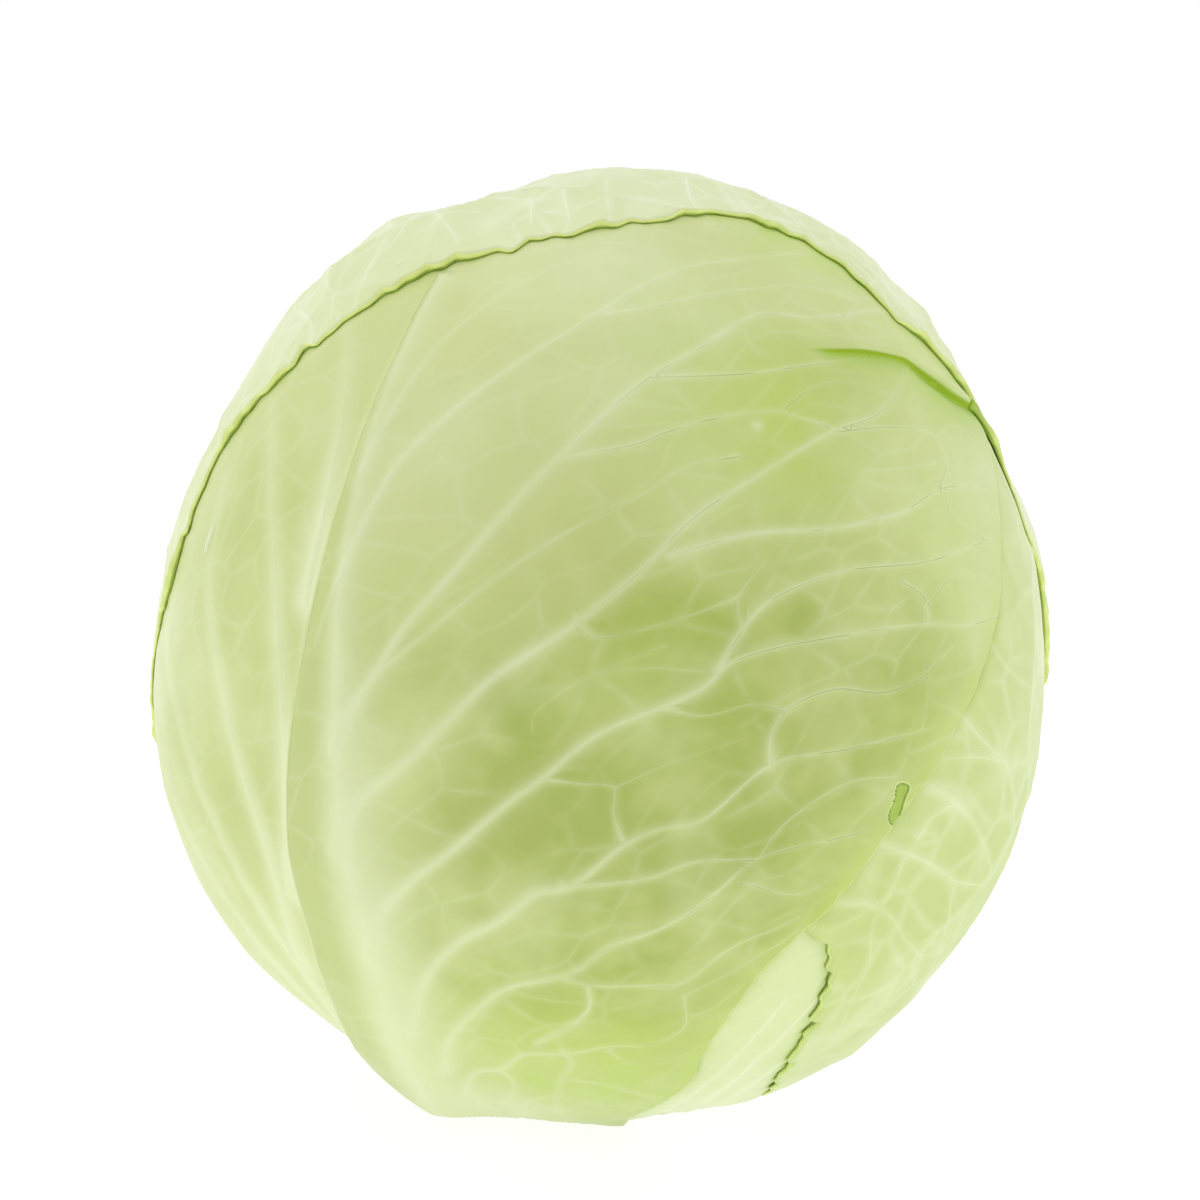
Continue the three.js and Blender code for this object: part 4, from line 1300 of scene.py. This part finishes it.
def front_shape(points, ways, skin):
    """Above the pleat the leaf hangs over it as a soft lip, and its flesh is thin in the nick."""
    if skin == LEAF_THICKNESS:
        hollow = smooth(0.3, -0.4, outline_distance("leaf_front", ways, NICK))
        points = points - NICK_DEPTH * hollow[:, None] * ways
    depth, below = pleat_at(ways)
    lip = depth * np.exp(-((below + 0.9) / 1.5) ** 2)
    down = ways[:, 2:] * ways - np.array([0.0, 0.0, 1.0])
    return points + lip[:, None] * (0.55 * down + 0.25 * ways)


grow_leaf(
    "leaf_front",
    leaf_shell("leaf_front", 296, lift=0.1, shaped=front_shape,
               deep=DEEP_PATCHES, fresh=FRESH_PATCHES, warm=WARM_PATCHES, light=PALE_AND_PAINTED_LIGHT_PATCHES,
               creased=CREASED_PATCHES, cuts=[NICK]),
    FRONT_VEINS,
    front_skin, "front_leaf", crest_height=0.00008, crest_width=0.0008, shoulder_height=0.00018,
    shoulder_width=0.003, net_height=0.00002, panel_height=0.0003, seed=5.0)


# ---------------------------------------------------------------------------
# The crown leaf
#
# The outermost leaf grows up the back and folds forwards over the top, where its uneven, torn
# edge lies across the front leaf. It is the palest of the big ones, with a clear net of veins.
# ---------------------------------------------------------------------------

crown_skin = leaf_skin(
    "crown leaf",
    {"Panel": "d9e2b0", "Shade": "cdd99e", "Fresh": "cfe08c", "Warm": "dddcae", "Pale": "e0e8c0",
     "Vein": "e9efd2", "Rib": "dbe2b0", "Rim": "e0ec90", "Hair": "b3c07c", "Tucked Shade": "97b82a"},
    net_size=9.0, net_strength=0.3, soft_net=0.35, net_width=0.06, edge_green=0.08, rim_width=0.1, bloom=0.6)

# The veins that show where it folds over the top and down to its edge
CROWN_VEINS = [
    (0.5, 0.3, [(-86, 66), (-68, 64), (-62, 61), (-58, 58), (-53, 55)]),
    (0.5, 0.3, [(-72, 70), (-53, 68), (-40, 65), (-35, 63)]),
    (0.5, 0.3, [(-87, 59), (-74, 56), (-63, 54)]),
    (0.4, 0.3, [(-43, 74), (-25, 74), (-18, 77)]),
    (0.4, 0.3, [(-26, 74), (-19, 68)]),
    (0.4, 0.3, [(-15, 76), (-8, 69)]),
    (0.4, 0.3, [(6, 80), (4, 70)]),
    (0.5, 0.3, [(65, 79), (41, 74), (34, 70)]),
    (0.4, 0.3, [(75, 76), (51, 70)]),
    (0.5, 0.3, [(92, 71), (76, 69), (82, 66)]),
    (0.5, 0.3, [(90, 61), (76, 59)]),
    (0.5, 0.3, [(89, 56), (80, 55), (71, 52)]),
    (0.4, 0.3, [(89, 52), (84, 52), (79, 50)]),
    (0.4, 0.3, [(88, 47), (88, 45), (87, 42)]),
    (0.4, 0.3, [(-73, 51), (-59, 49), (-56, 47)]),
]
grow_leaf(
    "leaf_crown",
    # The light patch near its right outline is painted sheen
    leaf_shell("leaf_crown", 296, lift=0.05, light=[(88, 24, 14, 0.6)]),
    CROWN_VEINS + pinnate_veins("leaf_crown", 9, seed=16, reach=80),
    crown_skin, "crown_leaf", crest_height=0.0003, net_size=9.0, net_height=0.00008,
    panel_size=0.028, panel_height=0.0011, seed=6.0)


# ---------------------------------------------------------------------------
# The drops
#
# A few small drops of water left on the skin after the head was rinsed. Each sits on its leaf
# as a low, clear lens, rounder where it is small and drawn out downwards where it has run.
# ---------------------------------------------------------------------------

DROPS = [  # the leaf it sits on, its place, its length down the leaf, its width and its height in mm
    ("leaf_crown", (-49, 60), 3.4, 2.6, 0.6),
    ("leaf_front", (-60, 22), 8.0, 2.6, 0.5),
    ("leaf_front", (-20, 0), 1.3, 1.0, 0.3),
    ("leaf_front", (-19, -7), 1.8, 1.0, 0.3),
    ("leaf_front", (-19, -9), 0.8, 0.7, 0.25),
]
DROP_SPOKES = 20
DROP_RINGS = 7
DROP_SINK = 0.35  # how far the dome goes on into the leaf, in radians, and as a share of its height


def drop_points(leaf, place, length, width, height):
    """A drop's skin: a low dome that sinks a little into the leaf round its foot."""
    way = towards(place)[0]
    down = way[2] * way - np.array([0.0, 0.0, 1.0])
    down /= np.linalg.norm(down)
    side = np.cross(way, down)
    foot = wrapped_radius(leaf, way[None], LEAF_THICKNESS)[0]
    points = []
    for tilt in np.linspace(-DROP_SINK, np.pi / 2, DROP_RINGS + 1)[:-1]:
        for turn in np.arange(DROP_SPOKES) * 2 * np.pi / DROP_SPOKES:
            run = 1 + 0.25 * math.cos(turn)
            flat = down * math.cos(turn) * length / 2 + side * math.sin(turn) * width / 2 * run
            points.append(CENTRE + way * (foot + height * math.sin(tilt)) + flat * math.cos(tilt))
    points.append(CENTRE + way * (foot + height))
    points.append(CENTRE + way * (foot - DROP_SINK * height))
    return points


drop_places, drop_faces = [], []
for drop in DROPS:
    first = len(drop_places)
    drop_places += drop_points(*drop)
    top = first + DROP_SPOKES * DROP_RINGS
    last = top - DROP_SPOKES
    for k in range(DROP_SPOKES):
        after = (k + 1) % DROP_SPOKES
        for low in range(first, last, DROP_SPOKES):
            drop_faces.append((low + k, low + after, low + DROP_SPOKES + after, low + DROP_SPOKES + k))
        drop_faces.append((last + k, last + after, top))
        drop_faces.append((first + after, first + k, top + 1))
drop_mesh = bpy.data.meshes.new("drops")
drop_mesh.from_pydata(np.array(drop_places) * MM, [], drop_faces)
drop_mesh.shade_smooth()
drops = bpy.data.objects.new("water_drops", drop_mesh)
bpy.context.scene.collection.objects.link(drops)


def water_material():
    """Clear in the middle, where the leaf shows through, and brighter round the edge, where a whitish colour
    grows opaque as a painted reflection.
    """
    material, tree, shader, where = start_material("water")
    ripple = add_node(tree, "ShaderNodeTexNoise", {"Vector": where, "Scale": 900.0}).outputs[0]
    tree.links.new(grade(tree, ripple, 0.3, 0.7, 0.02, 0.07), shader.inputs["Roughness"])
    # Painted reflection: the whitish colour grows opaque towards the edge
    facing = add_node(tree, "ShaderNodeLayerWeight", {"Blend": 0.5}).outputs["Facing"]
    tree.links.new(grade(tree, facing, 0.25, 0.9, 0.04, 0.7), shader.inputs["Alpha"])
    shader.inputs["Base Color"].default_value = tint("eef3dd")
    shader.inputs["IOR"].default_value = 1.33
    return material


drop_mesh.materials.append(water_material())
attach(drops, "root")


# ---------------------------------------------------------------------------
# The table, the light and the camera
#
# A plain white sweep in a white studio. Broad soft lights hang above and on both sides, and
# the camera looks slightly down on the front of the head.
# ---------------------------------------------------------------------------

table_mesh = bpy.data.meshes.new("table")
TABLE_HALF = 4.0
TABLE_DROP = 0.0001
corners = [(x * TABLE_HALF, y * TABLE_HALF, -TABLE_DROP) for x, y in ((-1, -1), (1, -1), (1, 1), (-1, 1))]
table_mesh.from_pydata(corners, [], [(0, 1, 2, 3)])
table = bpy.data.objects.new("table", table_mesh)
bpy.context.scene.collection.objects.link(table)


def seen_directly(tree):
    """1 for what the camera sees, straight or in a reflection, and 0 for light on the object."""
    rays = tree.nodes.new("ShaderNodeLightPath").outputs
    seen = work_out(tree, "MAXIMUM", rays["Is Camera Ray"], rays["Is Glossy Ray"])
    return work_out(tree, "MAXIMUM", seen, rays["Is Transmission Ray"])


def table_material():
    """White paper that glows where the camera sees it, so that the shadow on it stays faint. It also glows
    faintly as light on the head, lighting it from below.
    """
    material, tree, shader, where = start_material("white table")
    shader.inputs["Roughness"].default_value = 0.9
    seen = seen_directly(tree)
    grain = add_node(tree, "ShaderNodeTexNoise", {"Vector": where, "Scale": 60.0}).outputs[0]
    paper = blend_colours(tree, grain, tint("f6f6f4"), tint("f9f9f7"))
    shadow_share = blend_colours(tree, seen, paper, tint("8c8c8c"))
    tree.links.new(shadow_share, shader.inputs["Base Color"])
    # The table glows: fully where the camera sees it, and faintly as light cast up on the head from below
    tree.links.new(grade(tree, seen, 0.0, 1.0, 0.38, 0.85), shader.inputs["Emission Strength"])
    shader.inputs["Emission Color"].default_value = tint("ffffff")
    return material


table_mesh.materials.append(table_material())

SKY_LIGHT = 0.69
world = bpy.data.worlds.new("white studio")
world.use_nodes = True
bpy.context.scene.world = world
sky = world.node_tree
strength = grade(sky, seen_directly(sky), 0.0, 1.0, SKY_LIGHT, 1.0)
sky.links.new(strength, sky.nodes["Background"].inputs["Strength"])
sky.nodes["Background"].inputs["Color"].default_value = (1.0, 1.0, 1.0, 1.0)


LAMP_AIM = Vector((0.0, 0.0, 0.09))


def softbox(name, place, size, watts):
    """A square, soft lamp that points at the middle of the head."""
    lamp = bpy.data.lights.new(name, "AREA")
    lamp.size = size
    lamp.energy = watts
    box = bpy.data.objects.new(name, lamp)
    box.location = place
    box.rotation_mode = "QUATERNION"
    box.rotation_quaternion = (Vector(place) - LAMP_AIM).to_track_quat("Z", "Y")
    bpy.context.scene.collection.objects.link(box)


softbox("top light", (-0.15, 0.1, 1.3), 1.0, 4.5)
softbox("left light", (-1.2, 0.1, 0.3), 0.9, 2.6)
softbox("right light", (1.2, 0.1, 0.3), 0.9, 2.4)

AIM = Vector((0.0008, 0.0, 0.1025))
CAMERA_DISTANCE = 0.67
CAMERA_ELEVATION = math.radians(9)
camera_data = bpy.data.cameras.new("camera")
camera_data.lens = 100
camera_data.sensor_width = 36
camera = bpy.data.objects.new("camera", camera_data)
back = Vector((0.0, -math.cos(CAMERA_ELEVATION), math.sin(CAMERA_ELEVATION)))
camera.location = AIM + CAMERA_DISTANCE * back
camera.rotation_mode = "QUATERNION"
camera.rotation_quaternion = back.to_track_quat("Z", "Y")
bpy.context.scene.collection.objects.link(camera)
bpy.context.scene.camera = camera
bpy.context.scene.view_settings.view_transform = "Standard"
